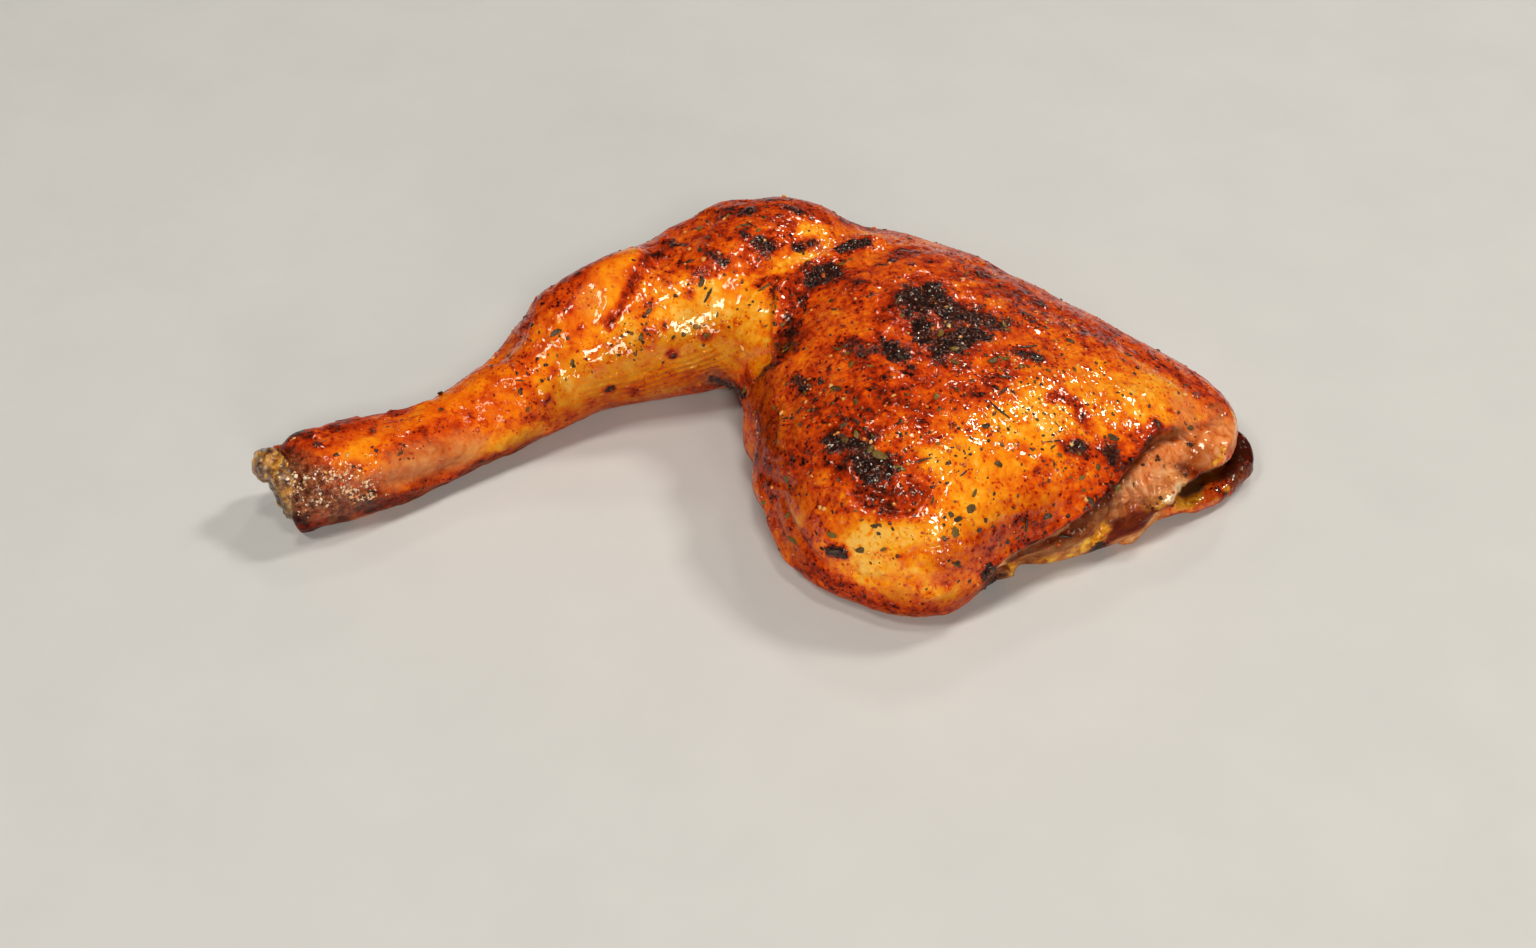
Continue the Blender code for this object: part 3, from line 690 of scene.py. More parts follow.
# level of browning, half width in mm, strength, points
BROWN = [
    (0.40, 13, 0.85, [(830, 320), (880, 300), (960, 290), (1030, 315)]),
    (0.54, 9, 0.8, [(830, 400), (880, 415), (940, 395), (985, 375)]),
    (0.66, 9, 0.8, [(930, 262), (1000, 285)]), (0.58, 9, 0.8, [(1030, 298), (1060, 312), (1110, 335)]), (0.74, 8, 0.8, [(885, 425), (922, 415)]),
    (0.28, 9, 0.85, [(1100, 385), (1150, 375), (1190, 395)]), (0.22, 3.0, 0.95, [(1178, 505), (1190, 502), (1200, 500)]), (0.40, 3.4, 0.9, [(1204, 500), (1220, 494), (1232, 486)]), (0.55, 1.6, 0.9, [(1184, 516), (1206, 512), (1228, 502)]), (0.74, 4, 0.9, [(1240, 488), (1248, 470), (1248, 452)]),
    (0.15, 11, 0.92, [(950, 450), (960, 490), (1010, 470), (1050, 440), (1100, 420), (1140, 410)]),
    (0.42, 8, 0.8, [(990, 520), (1030, 505), (1075, 480), (1110, 455)]),
    (0.20, 9, 0.9, [(870, 550), (910, 550), (960, 545), (980, 500)]),
    # ankle and shank
    (0.82, 7, 0.9, [(300, 436), (292, 470), (300, 505)]), (0.80, 2.2, 0.9, [(296, 520), (306, 534), (320, 532)]),
    (0.82, 4.4, 0.85, [(318, 438), (336, 433), (350, 428)]),
    (0.62, 3.4, 0.9, [(300, 428), (325, 417), (350, 411), (385, 407), (405, 402)]),
    (0.46, 8, 0.8, [(330, 450), (380, 445), (430, 430), (480, 405), (520, 375)]),
    (0.24, 3.0, 0.9, [(346, 452), (360, 447)]), (0.25, 4.6, 0.8, [(506, 404), (530, 393), (562, 378)]), (0.34, 4, 0.7, [(365, 458), (390, 455), (396, 432)]),
    (0.60, 3.8, 0.85, [(405, 447), (425, 437), (442, 427), (462, 414)]),
    (0.38, 4.0, 0.8, [(430, 408), (470, 398), (500, 378)]),
    (0.52, 3.0, 0.8, [(350, 492), (390, 487), (420, 481), (460, 468)]),
    (0.76, 3.2, 0.9, [(330, 522), (370, 509), (420, 497), (470, 482), (520, 464), (560, 444)]),
    (0.14, 2.6, 0.9, [(470, 452), (500, 443), (545, 428)]),
    # calf
    (0.12, 10, 0.95, [(590, 370), (640, 350), (700, 325), (750, 315)]),
    (0.62, 3.9, 0.9, [(520, 337), (545, 309), (580, 280), (612, 262), (650, 248)]),
    (0.62, 3.0, 0.9, [(545, 320), (562, 313), (580, 305)]), (0.55, 1.6, 0.9, [(562, 336), (572, 326)]),
    (0.36, 5.0, 0.8, [(500, 385), (530, 350), (552, 335)]),
    (0.24, 5.5, 0.95, [(590, 328), (608, 303), (625, 280)]), (0.14, 2.6, 0.8, [(592, 306)]),
    (0.36, 4.6, 0.8, [(645, 268), (628, 292)]), (0.52, 2.5, 0.9, [(625, 262), (650, 255), (675, 250)]),
    (0.67, 1.5, 0.9, [(668, 244), (652, 262), (636, 284), (622, 304), (608, 324)]), (0.20, 2.2, 0.9, [(636, 262), (622, 282), (606, 304)]),
    (0.52, 3.2, 0.8, [(696, 260), (682, 275), (664, 287)]),
    (0.04, 5.4, 0.95, [(672, 310), (700, 300), (740, 290)]), (0.10, 5.0, 0.9, [(756, 350), (760, 325), (757, 302)]),
    (0.14, 4.0, 0.85, [(560, 398), (600, 396), (650, 388), (700, 372)]),
    (0.42, 2.6, 0.9, [(560, 420), (600, 414), (640, 404), (690, 396), (740, 394)]),
    # knee
    (0.63, 8, 0.95, [(735, 208), (765, 205), (805, 212), (840, 222)]),
    (0.58, 6, 0.8, [(725, 235), (760, 232), (790, 226)]),
    (0.46, 5, 0.8, [(735, 265), (770, 260), (800, 245)]),
    (0.12, 2.4, 0.9, [(806, 232), (818, 230)]), (0.06, 2.2, 1.0, [(779, 274), (795, 263), (815, 252), (828, 246)]),
    (0.30, 3.0, 0.9, [(835, 240), (852, 234), (872, 236)]),
    (0.72, 1.2, 0.8, [(757, 286), (765, 280), (775, 278)]),
    # thigh, next to the knee
    (0.71, 5.0, 0.9, [(798, 292), (794, 322), (786, 350)]), (0.58, 4.0, 0.8, [(842, 298), (860, 276)]),
    (0.45, 4.5, 0.8, [(880, 272), (905, 266), (935, 264)]), (0.45, 3.6, 0.8, [(832, 345), (836, 372), (862, 384)]),
    (0.36, 1.2, 0.9, [(956, 284), (972, 283)]), (0.38, 1.3, 0.9, [(972, 303), (1002, 303)]),
    (0.64, 6.0, 0.7, [(900, 320), (935, 318), (970, 322)]),
    (0.62, 4.5, 0.7, [(925, 380), (960, 392)]), (0.60, 4.0, 0.7, [(990, 398), (1012, 425)]),
    (0.70, 2.6, 0.7, [(850, 345), (862, 362), (880, 372)]),
    # thigh, right
    (0.10, 5.0, 0.95, [(1012, 424), (1036, 408), (1052, 424)]), (0.12, 3.4, 0.9, [(1098, 410), (1108, 418)]),
    (0.70, 1.8, 0.8, [(1053, 395), (1066, 396), (1078, 406), (1083, 420)]),
    (0.16, 3.0, 0.8, [(1140, 395), (1165, 385)]), (0.20, 3.0, 0.7, [(1120, 378)]),
    (0.60, 3.6, 0.8, [(1135, 348), (1165, 362), (1200, 382), (1224, 402)]),
    (0.60, 2.4, 0.8, [(1020, 538), (1060, 518), (1095, 490), (1120, 462), (1150, 434)]),
    (0.64, 1.0, 0.8, [(1176, 428), (1196, 424), (1207, 418), (1219, 411), (1229, 403)]),
    (0.56, 3.0, 0.7, [(1078, 452), (1110, 462)]),
    # thigh, front
    (0.04, 5.0, 0.95, [(866, 548), (895, 545), (925, 556)]), (0.00, 1.8, 0.9, [(879, 539)]),
    (0.00, 1.9, 0.9, [(866, 567), (874, 568)]), (0.18, 4.0, 0.9, [(915, 590), (945, 590)]),
    (0.42, 2.0, 0.7, [(905, 558), (930, 553), (955, 548)]), (0.46, 4.5, 0.8, [(950, 566), (972, 558)]), (0.56, 3.4, 0.7, [(985, 545), (1010, 532), (1035, 520)]),
    (0.68, 3.0, 0.9, [(800, 562), (826, 582), (854, 597), (885, 608), (930, 616)]),
    (0.50, 3.6, 0.8, [(768, 482), (774, 510), (790, 545)]), (0.22, 1.3, 0.9, [(780, 494), (788, 508), (800, 522)]),
    (0.60, 6.0, 0.9, [(762, 420), (768, 445), (790, 464)]), (0.36, 1.4, 0.9, [(783, 402), (785, 420), (786, 443)]),
    (0.72, 4.0, 0.9, [(840, 468), (868, 488), (900, 500), (918, 492)]),
    (0.46, 4.0, 0.8, [(808, 498), (832, 500), (836, 520)]),
    (0.62, 3.0, 0.7, [(870, 440), (900, 450), (915, 462)]),
    (0.55, 4.0, 0.7, [(820, 430), (840, 420)]),
    (0.62, 5.0, 0.7, [(882, 412), (905, 420), (924, 422)]),
    (0.74, 4.5, 0.7, [(915, 296), (940, 305), (962, 325), (955, 345), (930, 345)]),
]
halo = np.zeros(len(co))
for n, (amount, radius, points) in enumerate(CHAR):
    halo = np.maximum(halo, amount * stroke(radius * 1.05 + 0.3, points, 0.7, 0.5, n + 300))
mottle = fbm(co, 20, 3, 60)
patchy = fbm(co, 6.5, 4, 61)
roast = 0.44 + 0.16 * mottle + 0.10 * patchy
# painted shade: browner, darker red on the side facing away and on the low sides and the underside
roast = mix(roast, 0.57 + 0.14 * patchy, ramp(ny, 0.1, 0.6))            # the far side
roast = mix(roast, 0.60 + 0.14 * patchy, ramp(-nz, -0.25, 0.4))         # sides low down and under
for n, (level, radius, amount, points) in enumerate(BROWN):
    roast = mix(roast, level + 0.06 * patchy, amount * stroke(radius, points, 0.6, 0.3, n + 7))
# a browner net round paler islands, and darkened tops
f1, f2, own = cells(co + 1.3 * np.stack([noise(co, 3, 90 + k) for k in range(3)], 1), 4.2, 62)
net = 1 - ramp(f2 - f1, 0.02, 0.35)
roast += 0.11 * net * ramp(mottle, -0.4, 0.4) * upward
roast += 0.10 * ramp(fbm(co, 2.4, 3, 63), 0.05, 0.5)
# darker at the skin's cut edge: the skin's browned edge, with painted shade of the crease under it
roast = roast + 0.30 * np.exp(-((s_cut - 0.1) / 1.1) ** 2) * cut_fade
roast = np.maximum(roast, mix(roast, 0.80, halo))

# masks of what isn't browned skin
meat = ramp(s_cut, -0.1, 0.6) * ramp(x, 46, 54) * (1 - ramp(y, 2, 10))
knob_skin = stroke(4.6, [(1178, 440), (1194, 440), (1210, 440), (1222, 432), (1226, 420)], 0.35, 0.25, 88)
knob_skin = np.maximum(knob_skin, 0.85 * stroke(3.2, [(1146, 468), (1160, 452), (1172, 441)], 0.5, 0.3, 87)) * ramp(s_cut, -0.4, 0.4)
lip_far = from_line(co, no, (smooth_line(LIP, 4)[:, :3] + (0, 0, 1.2)) + SHIFT)[0]
low_wall = np.maximum(ramp(-nz, -0.5, 0.0) * (1 - ramp(z, 18, 26)),
                      0.95 * np.exp(-((0.669 * nz - 0.743 * ny - 0.08) / 0.26) ** 2) * ramp(ny, 0.05, 0.35))
inward = np.array((98.0, -16.0)) + SHIFT[:2] - co[:, :2]
facing_in = (no[:, :2] * inward).sum(1) / (np.linalg.norm(inward, axis=1) + 1e-6)
on_lip = (1 - ramp(lip_far, 5.2, 6.6)) * ramp(x, 83, 88) * (1 - ramp(z, 9.5, 11.5))
# painted shade in the hollow under the hip end: on its walls, the lip's inward face and the top of the tray
hollow_painted_shade = mix(hollow_wall, 0.96 * ramp(facing_in + 0.15 * noise(co, 2.0, 85), 0.05, 0.45), on_lip)
tray_far = from_line(co, no, smooth_line(TRAY, 4)[:, :3] + SHIFT)[0]
hollow_painted_shade = np.maximum(hollow_painted_shade, 0.96 * (1 - ramp(tray_far + 0.5 * noise(co, 2.5, 89), 4.0, 5.2)) * ramp(nz, -0.1, 0.2)
                         * ramp(x, 84, 90) * (1 - ramp(z, 8, 10)))
flap_skin = stroke(4.6, [(1180, 512), (1205, 504), (1230, 490), (1246, 474), (1249, 456)], 0.4, 0.3, 86) * (1 - hollow_painted_shade) * on_lip
meat = meat * (1 - 0.95 * flap_skin)
pale = np.zeros(len(co))
for n, (amount, radius, points) in enumerate([
        (0.9, 3.6, [(395, 471), (420, 463), (450, 455), (470, 447)]),
        (0.7, 2.8, [(1182, 396), (1192, 412), (1186, 428)]), (0.35, 3.0, [(592, 306)]),
        (0.4, 2.0, [(820, 252)])]):
    pale = np.maximum(pale, amount * stroke(radius, points, 0.6, 0.3, n + 90))
# yellow fat; the knob's lower lip, the skin's right rim and a spot on the flap are painted highlights in the same pale
# yellow
fat_and_painted_glint = np.zeros(len(co))
for n, (amount, radius, points) in enumerate([
        (0.95, 1.2, [(1014, 577), (1030, 572), (1046, 566)]), (1.0, 1.35, [(1044, 566), (1062, 558), (1080, 548), (1094, 535), (1105, 521)]), (0.7, 0.8, [(1060, 563), (1084, 556), (1098, 546)]),
        (0.9, 0.9, [(1177, 505), (1190, 503), (1204, 500)]), (0.8, 0.7, [(1208, 504), (1218, 499)]), (0.9, 0.8, [(1222, 448), (1220, 458), (1210, 466)]),
        (0.8, 0.6, [(1231, 409), (1236, 422), (1235, 436)]),
        (0.5, 1.6, [(1150, 505), (1170, 502)])]):
    fat_and_painted_glint = np.maximum(fat_and_painted_glint, amount * stroke(radius, points, 0.5, 0.45, n + 110))
fat_and_painted_glint = fat_and_painted_glint * (1 - 0.9 * hollow_painted_shade)
sinew = np.maximum(stroke(0.9, [(1181, 482), (1176, 490), (1170, 499)], 0.5, 0.3, 120),
                   0.45 * stroke(1.5, [(1138, 480), (1150, 470), (1162, 466)], 0.6, 0.4, 121))
rosy = np.maximum.reduce([stroke(3.4, [(1160, 450), (1178, 443), (1192, 432)], 0.6, 0.3, 122),
                          0.8 * stroke(4.0, [(1135, 492), (1150, 475)], 0.6, 0.3, 123),
                          0.4 * stroke(3.0, [(1210, 420), (1222, 430)], 0.6, 0.3, 124)])
# red of underdone meat, darkened further as painted shade on the low side of the bare meat and under the knob
raw_red_and_shade = np.maximum(stroke(4.8, [(1104, 542), (1120, 534), (1140, 526), (1160, 518)], 0.4, 0.3, 125),
                     stroke(3.0, [(1196, 462), (1212, 448), (1222, 436)], 0.5, 0.3, 126))

# painted shade: darker and duller where shade falls: under the drumstick, on the thigh's left wall and front foot,
# under the skin's cut edge, round the hip end and under the ankle
painted_shade = np.zeros(len(co))
for n, (amount, radius, points) in enumerate([
        (0.42, 6, [(560, 412), (610, 400), (660, 390), (710, 378)]), (0.35, 7, [(590, 385), (650, 368), (710, 345)]),
        (0.50, 5, [(764, 400), (768, 430), (778, 460)]), (0.25, 6, [(776, 480), (790, 520), (800, 550)]),
        (0.40, 4, [(900, 606), (930, 612), (965, 600)]), (0.35, 5, [(985, 545), (1010, 530), (1040, 518)]),
        (0.30, 5, [(300, 470), (320, 500)]), (0.45, 3.4, [(1196, 462), (1208, 454)]),
        (0.62, 3.0, [(1120, 535), (1150, 522)]), (0.74, 3.6, [(1240, 484), (1248, 474), (1250, 462), (1246, 446), (1238, 438)]),
        (0.30, 4, [(948, 562), (975, 556)]), (0.55, 4, [(350, 508), (400, 498), (460, 480), (530, 452)]), (0.22, 4, [(400, 472), (450, 456)]),
        (0.35, 3.0, [(1060, 560), (1090, 548)]), (0.8, 4.0, [(990, 588), (1004, 592)]), (0.6, 3.0, [(298, 516), (306, 530), (322, 530)]), (0.30, 1.4, [(1180, 517), (1196, 516), (1222, 508)]),
        (0.88, 2.0, [(1020, 565), (1036, 558), (1060, 546), (1078, 536), (1096, 519), (1114, 499)]), (0.5, 1.4, [(1086, 556), (1100, 548), (1112, 540)]), (0.55, 1.5, [(1016, 586), (1040, 578), (1066, 568), (1092, 558)])]):
    painted_shade = np.maximum(painted_shade, amount * stroke(radius, points, 0.7, 0.4, n + 400))
# painted shade in the crease under the skin's cut edge
painted_shade = np.maximum(painted_shade, 0.86 * np.exp(-((s_cut - 0.9) / 1.3) ** 2) * cut_fade * ramp(cut_along, 0.06, 0.2))
painted_shade *= 1 - 0.75 * fat_and_painted_glint

# the ankle's cut face and the ring of skin round it
out = (co - ANKLE_AT) @ ANKLE_OUT
u, v = (co - ANKLE_AT) @ ANKLE_ACROSS, (co - ANKLE_AT) @ ANKLE_UP
r_ankle = np.hypot(u, v) + 0.45 * noise(co, 2.4, 130)
ankle_face = ramp(out, -1.6, -0.4) * (1 - ramp(r_ankle, 8.0, 9.2))
rise -= 1.3 * ankle_face
ring = np.exp(-((out + 1.2) / 1.6) ** 2) * ramp(r_ankle, 7.6, 9.0)
rise += 0.55 * ring * (0.6 + 0.7 * noise(co, 3.1, 131))
rise -= 2.6 * ramp(out, -7.5, -0.5) ** 1.5 * ramp(v, 1.0, 8.0) * ramp(r_ankle, 7.0, 9.0)
# the ankle's lower rim: browner, with painted shade under it
low_rim = ramp(out, -6.0, -1.5) * ramp(-v, 1.5, 5.5)
painted_shade = np.maximum(painted_shade, 0.62 * low_rim * (0.8 + 0.4 * noise(co, 2.2, 136)))
roast = mix(roast, 0.78, 0.8 * low_rim)
tissue = np.maximum(ankle_face, 0.85 * stroke(2.0, [(262, 490), (270, 505), (282, 520), (292, 532)], 0.4, 0.3, 132)
                    * ramp(out, -3.5, -1.5))
grey = np.maximum(stroke(6.5, [(298, 488), (322, 495), (345, 498)], 0.6, 0.35, 133),
                  0.7 * stroke(3.0, [(715, 378), (735, 387)], 0.6, 0.35, 134))

# ------------------------------------------------------------------ middle and small relief
crust = char * (1 - 0.6 * tissue)
rise += crust * (0.12 + 0.65 * fbm(co, 2.2, 3, 140) + 0.30 * ridged(co, 1.7, 2, 141))
f1, f2, own = cells(co, 2.1, 142)
bubbly = np.maximum.reduce([
    stroke(8, [(1010, 420), (1040, 410)], 0.7, 0.3, 143), stroke(9, [(880, 360), (950, 350)], 0.7, 0.3, 144),
    0.8 * stroke(8, [(850, 460), (900, 440)], 0.7, 0.3, 145), 0.7 * stroke(7, [(1010, 510), (1060, 490)], 0.7, 0.3, 146),
    0.8 * stroke(5, [(835, 570), (870, 590)], 0.7, 0.3, 147), 0.8 * stroke(6, [(745, 225), (785, 225)], 0.7, 0.3, 148)])
rise += 0.42 * bubbly * (ramp(0.62 - f1, 0, 0.5) - 0.35) * ramp(own, 0.25, 0.6)
knobbly = stroke(9, [(300, 480), (330, 490)], 0.6, 0.3, 149)
rise += 0.5 * knobbly * fbm(co, 2.0, 3, 150)
rise += (0.30 * fbm(co, 5.5, 3, 151) + 0.13 * fbm(co, 2.2, 3, 152)) * (0.6 + 0.4 * mottle)
rise += 0.30 * under * ridged(co, 5.0, 3, 153)
lower = (1 - ramp(z, 1.5, 7)) * (1 - under)
rise += lower * (0.7 * fbm(co, 4.5, 3, 154))
# thin wrinkles pulled across the thigh
stretch = co @ np.array(((0.9, 0.35, 0), (-0.14, 0.36, 0), (0, 0, 0.4)))
rise += 0.16 * ridged(stretch, 2.6, 2, 155) * ramp(mottle, -0.2, 0.5) * upward
# meat fibres
fibre = co @ np.array(((0.25, 0.9, 0), (0.9, -0.25, 0.3), (0, 0.2, 1.0)))
rise += meat * (1 - 0.8 * knob_skin) * (0.15 * ridged(fibre * (0.35, 1, 1), 2.1, 2, 156) + 0.35 * fbm(co, 4.0, 3, 157) - 0.1)

rise = np.where(out > -0.6, np.minimum(rise, 0.4 + 0 * rise), rise)
rise *= 1 - 0.85 * hollow_wall
brim = 1.5 * ramp(out, -3.0, -0.3) * ramp(r_ankle, 7.4, 8.6) * (1 - ramp(np.abs(v), 5.5, 9))
co = co + no * rise[:, None] + brim[:, None] * ANKLE_OUT
# the hip end a little lower, its flap of skin drawn in under it
x, y, z = (co - SHIFT).T
drawn = ramp(x, 84, 91) * (1 - 0.3 * ramp(x, 94, 100)) * ramp(-y, 12, 23) * (1 - ramp(z, 6.5, 11))
co[:, 1] += 3.4 * drawn + 6.0 * np.exp(-((x - 56) / 8) ** 2) * ramp(-y, 39, 51) * (1 - ramp(z, 5, 10))
co[:, 2] += 1.8 * drawn - 1.9 * ramp(x, 82, 104) * ramp(z, 8, 15)
behind = ramp(ny, -0.4, 0.3)
dip = (2.1 * np.exp(-((x + 53.5) / 6.5) ** 2) + 1.9 * np.exp(-((x + 74.5) / 5) ** 2) + 1.0 * np.exp(-((x + 13.2) / 4) ** 2) * ramp(y, 30, 40)) * behind
co[:, 1] -= 0.7 * dip
co[:, 2] -= 0.6 * dip * ramp(z, 4, 14)
write(skin, co)
co, no = read(skin)
# the last fine grain along the new normals
fine = 0.07 * fbm(co, 1.25, 2, 160) * (1 + 1.5 * crust) + 0.05 * knobbly * noise(co, 0.9, 161)
co = co + no * fine[:, None]
co[:, 2] = np.maximum(co[:, 2], 0.0)
write(skin, co)

# marks at the hip end and the ankle, placed on the finished shape
co, no = read(skin)
bm = bmesh.new()
bm.from_mesh(skin)
base_tree, tree = tree, BVHTree.FromBMesh(bm)
bm.free()
low_down = 1 - ramp((co - SHIFT)[:, 2], 8.5, 10.0)
# more painted shade in the hollow, along its opening
hollow_painted_shade = np.maximum(hollow_painted_shade, 0.96 * low_down * np.maximum(
    stroke(1.7, [(1181, 489), (1190, 485), (1202, 481), (1213, 477)], 0.25, 0.2, 500),
    stroke(2.5, [(1214, 476), (1225, 469), (1235, 458), (1241, 446)], 0.25, 0.2, 501)))
flap_new = stroke(3.2, [(1180, 508), (1205, 502), (1230, 492), (1246, 478), (1250, 460)], 0.4, 0.3, 502) * low_down * (1 - hollow_painted_shade)
meat = meat * (1 - 0.95 * flap_new)
knob_new = stroke(3.6, [(1198, 446), (1213, 444), (1226, 435)], 0.5, 0.3, 503) * (1 - low_down)
meat, knob_skin = np.maximum(meat, knob_new), np.maximum(knob_skin, knob_new)
# yellow fat again, on the finished shape; the knob's lower lip, the skin's right rim and a spot on the flap are painted
# highlights
fat_and_painted_glint = np.zeros(len(co))
for n, (amount, radius, points) in enumerate([
        (1.0, 1.7, [(1012, 571), (1026, 568), (1042, 563), (1052, 559)]), (1.0, 1.5, [(1074, 554), (1086, 546), (1096, 538), (1105, 529)]),
        (0.9, 1.2, [(1178, 504), (1188, 502), (1198, 498)]), (0.7, 0.5, [(1213, 502), (1217, 499)]), (0.7, 0.6, [(1225, 490), (1229, 488)]),
        (0.9, 0.7, [(1223, 448), (1221, 457), (1215, 464)]), (0.8, 0.6, [(1231, 409), (1236, 422), (1235, 436)]),
        (0.45, 1.4, [(1150, 505), (1166, 503)])]):
    fat_and_painted_glint = np.maximum(fat_and_painted_glint, amount * stroke(radius, points, 0.5, 0.45, n + 510))
fat_and_painted_glint = fat_and_painted_glint * (1 - 0.9 * hollow_painted_shade)
for n, (level, radius, amount, points) in enumerate([
        (0.24, 1.7, 0.95, [(1177, 504), (1188, 502), (1199, 498)]), (0.50, 1.6, 0.9, [(1200, 499), (1213, 494), (1226, 488)]),
        (0.68, 1.1, 0.9, [(1182, 514), (1200, 512), (1216, 506), (1230, 498)]),
        (0.70, 2.8, 0.9, [(1236, 488), (1246, 478), (1251, 464), (1250, 450), (1244, 438)])]):
    roast = mix(roast, level + 0.06 * patchy, amount * stroke(radius, points, 0.6, 0.3, n + 520))
pale = np.maximum(pale, 0.45 * stroke(3.2, [(1186, 414), (1200, 422), (1216, 416), (1226, 424)], 0.6, 0.3, 530))
grey = np.maximum(grey, 0.7 * stroke(1.8, [(1236, 482), (1244, 477), (1249, 470)], 0.5, 0.3, 531))
# a dark line along the skin's cut edge: the browned edge of the skin, with painted shade in the crease under it
edge_line = stroke(0.75, [(1007, 561), (1035, 551), (1055, 540), (1080, 519), (1104, 498), (1118, 484), (1131, 466), (1150, 446)], 0.6, 0.5, 532)
shade = np.maximum(0.66 * stroke(2.3, [(1026, 562), (1048, 553), (1066, 543), (1084, 528), (1100, 512), (1112, 498)], 0.6, 0.3, 536),
                   0.8 * stroke(2.4, [(296, 520), (306, 531), (322, 531), (342, 521)], 0.6, 0.3, 537))
painted_shade = np.maximum(np.maximum(painted_shade, shade) * (1 - 0.8 * fat_and_painted_glint), 0.92 * edge_line)
roast = np.maximum(roast, mix(roast, 0.74, edge_line))
plain = np.maximum.reduce([stroke(8, [(370, 440), (430, 428), (490, 402), (540, 378)], 0.6, 0.3, 533),
                           stroke(7, [(612, 272), (596, 295), (580, 318)], 0.6, 0.3, 534),
                           0.7 * stroke(7, [(640, 372), (690, 345), (750, 330)], 0.6, 0.3, 535)])
matte = stroke(7, [(440, 421), (475, 413), (505, 399)], 0.6, 0.3, 538)
tree = base_tree

for name, values in [("plain", plain), ("matte", matte), ("roast", np.clip(roast, 0, 1)), ("char", crust), ("meat", meat), ("pale", pale),
                     ("fat_and_painted_glint", fat_and_painted_glint), ("sinew", sinew), ("rosy", rosy), ("rawred_and_shade", raw_red_and_shade),
                     ("tissue", tissue), ("grey", grey), ("phase", phase), ("pleat", pleat), ("painted_shade", painted_shade), ("hollow", hollow_painted_shade),
                     ("knob", knob_skin), ("tight", tight), ("cave", hollow_wall), ("wall", low_wall * (1 - 0.9 * grey) * (1 - 0.95 * fat_and_painted_glint) * (1 - 0.7 * flap_skin) * (1 - 0.6 * crust)),
                                          ("under", np.maximum(under, ramp(-no[:, 2], 0.2, 0.7)))]:
    attribute(skin, name, values)

# fewer points below, where it lies
body = add("leg_skin", skin)
group = body.vertex_groups.new(name="keep")
keep = 1 - 0.9 * ramp(-no[:, 2], 0.1, 0.7) - 0.35 * ramp(no[:, 1], 0.3, 0.8)
for level in np.linspace(0.1, 1, 10):
    rows = np.where(np.abs(keep - level) <= 0.05)[0]
    if len(rows):
        group.add(rows.tolist(), float(level), "REPLACE")
triangles = 2 * len(skin.polygons)
m = body.modifiers.new("thin", "DECIMATE")
m.ratio = min(1.0, 192000 / triangles)
m.vertex_group, m.vertex_group_factor, m.invert_vertex_group = "keep", 1.0, True
skin = taken(body)
bm = bmesh.new()
bm.from_mesh(skin)
bmesh.ops.triangulate(bm, faces=bm.faces)
bm.to_mesh(skin)
bm.free()
body = add("leg_skin", skin)
skin.shade_smooth()
body.vertex_groups.clear()
print("body triangles", sum(len(q.vertices) - 2 for q in skin.polygons), "attributes", [a.name for a in skin.attributes])

# ------------------------------------------------------------------ the finished skin, for what lies on it
n_faces = len(skin.polygons)
tri = np.empty(n_faces * 3, np.int32)
skin.polygons.foreach_get("vertices", tri)
tri = tri.reshape(-1, 3)
co, no = read(skin)


def held(name):
    values = np.empty(len(skin.vertices), np.float32)
    skin.attributes[name].data.foreach_get("value", values)
    return values.astype(float)


A = {name: held(name) for name in ("roast", "char", "meat", "pale", "fat_and_painted_glint", "tissue", "under", "grey", "hollow", "cave")}
a, b, c = co[tri[:, 0]], co[tri[:, 1]], co[tri[:, 2]]
crossed = np.cross(b - a, c - a)
face_area = np.linalg.norm(crossed, axis=1) / 2
face_normal = crossed / np.maximum(np.linalg.norm(crossed, axis=1), 1e-12)[:, None]
face_at = (a + b + c) / 3
bm = bmesh.new()
bm.from_mesh(skin)
top_tree = BVHTree.FromBMesh(bm)
bm.free()


def on_face(values):
    return values[tri].mean(1)


def scattered(count, weight, seed):
    """Points in mm, normals and the face of each, spread by weight."""
    rng = np.random.default_rng(seed)
    w = face_area * np.maximum(weight, 0)
    rows = rng.choice(n_faces, count, p=w / w.sum())
    s, t = np.sqrt(rng.random(count)), rng.random(count)
    k = np.stack([1 - s, s * (1 - t), s * t], 1)
    pts = np.einsum("ij,ijk->ik", k, co[tri[rows]])
    normals = np.einsum("ij,ijk->ik", k, no[tri[rows]])
    return pts, normals / np.linalg.norm(normals, axis=1)[:, None], rows


def seen(px, py):
    """Point and normal on the finished skin behind a pixel of the photo's frame."""
    hit = top_tree.ray_cast(Vector(CAM_AT * MM), sight(px, py))
    if hit[0] is None:
        q = Vector(CAM_AT * MM) + sight(px, py) * 0.48
        hit = top_tree.find_nearest(q)
    return np.array(hit[0]) / MM, np.array(hit[1])


def base_ball(subdivisions):
    bm = bmesh.new()
    bmesh.ops.create_icosphere(bm, subdivisions=subdivisions, radius=1.0)
    v = np.array([w.co[:] for w in bm.verts])
    f = np.array([[w.index for w in q.verts] for q in bm.faces])
    bm.free()
    return v, f


BALLS = {n: base_ball(n) for n in (1, 2, 3)}


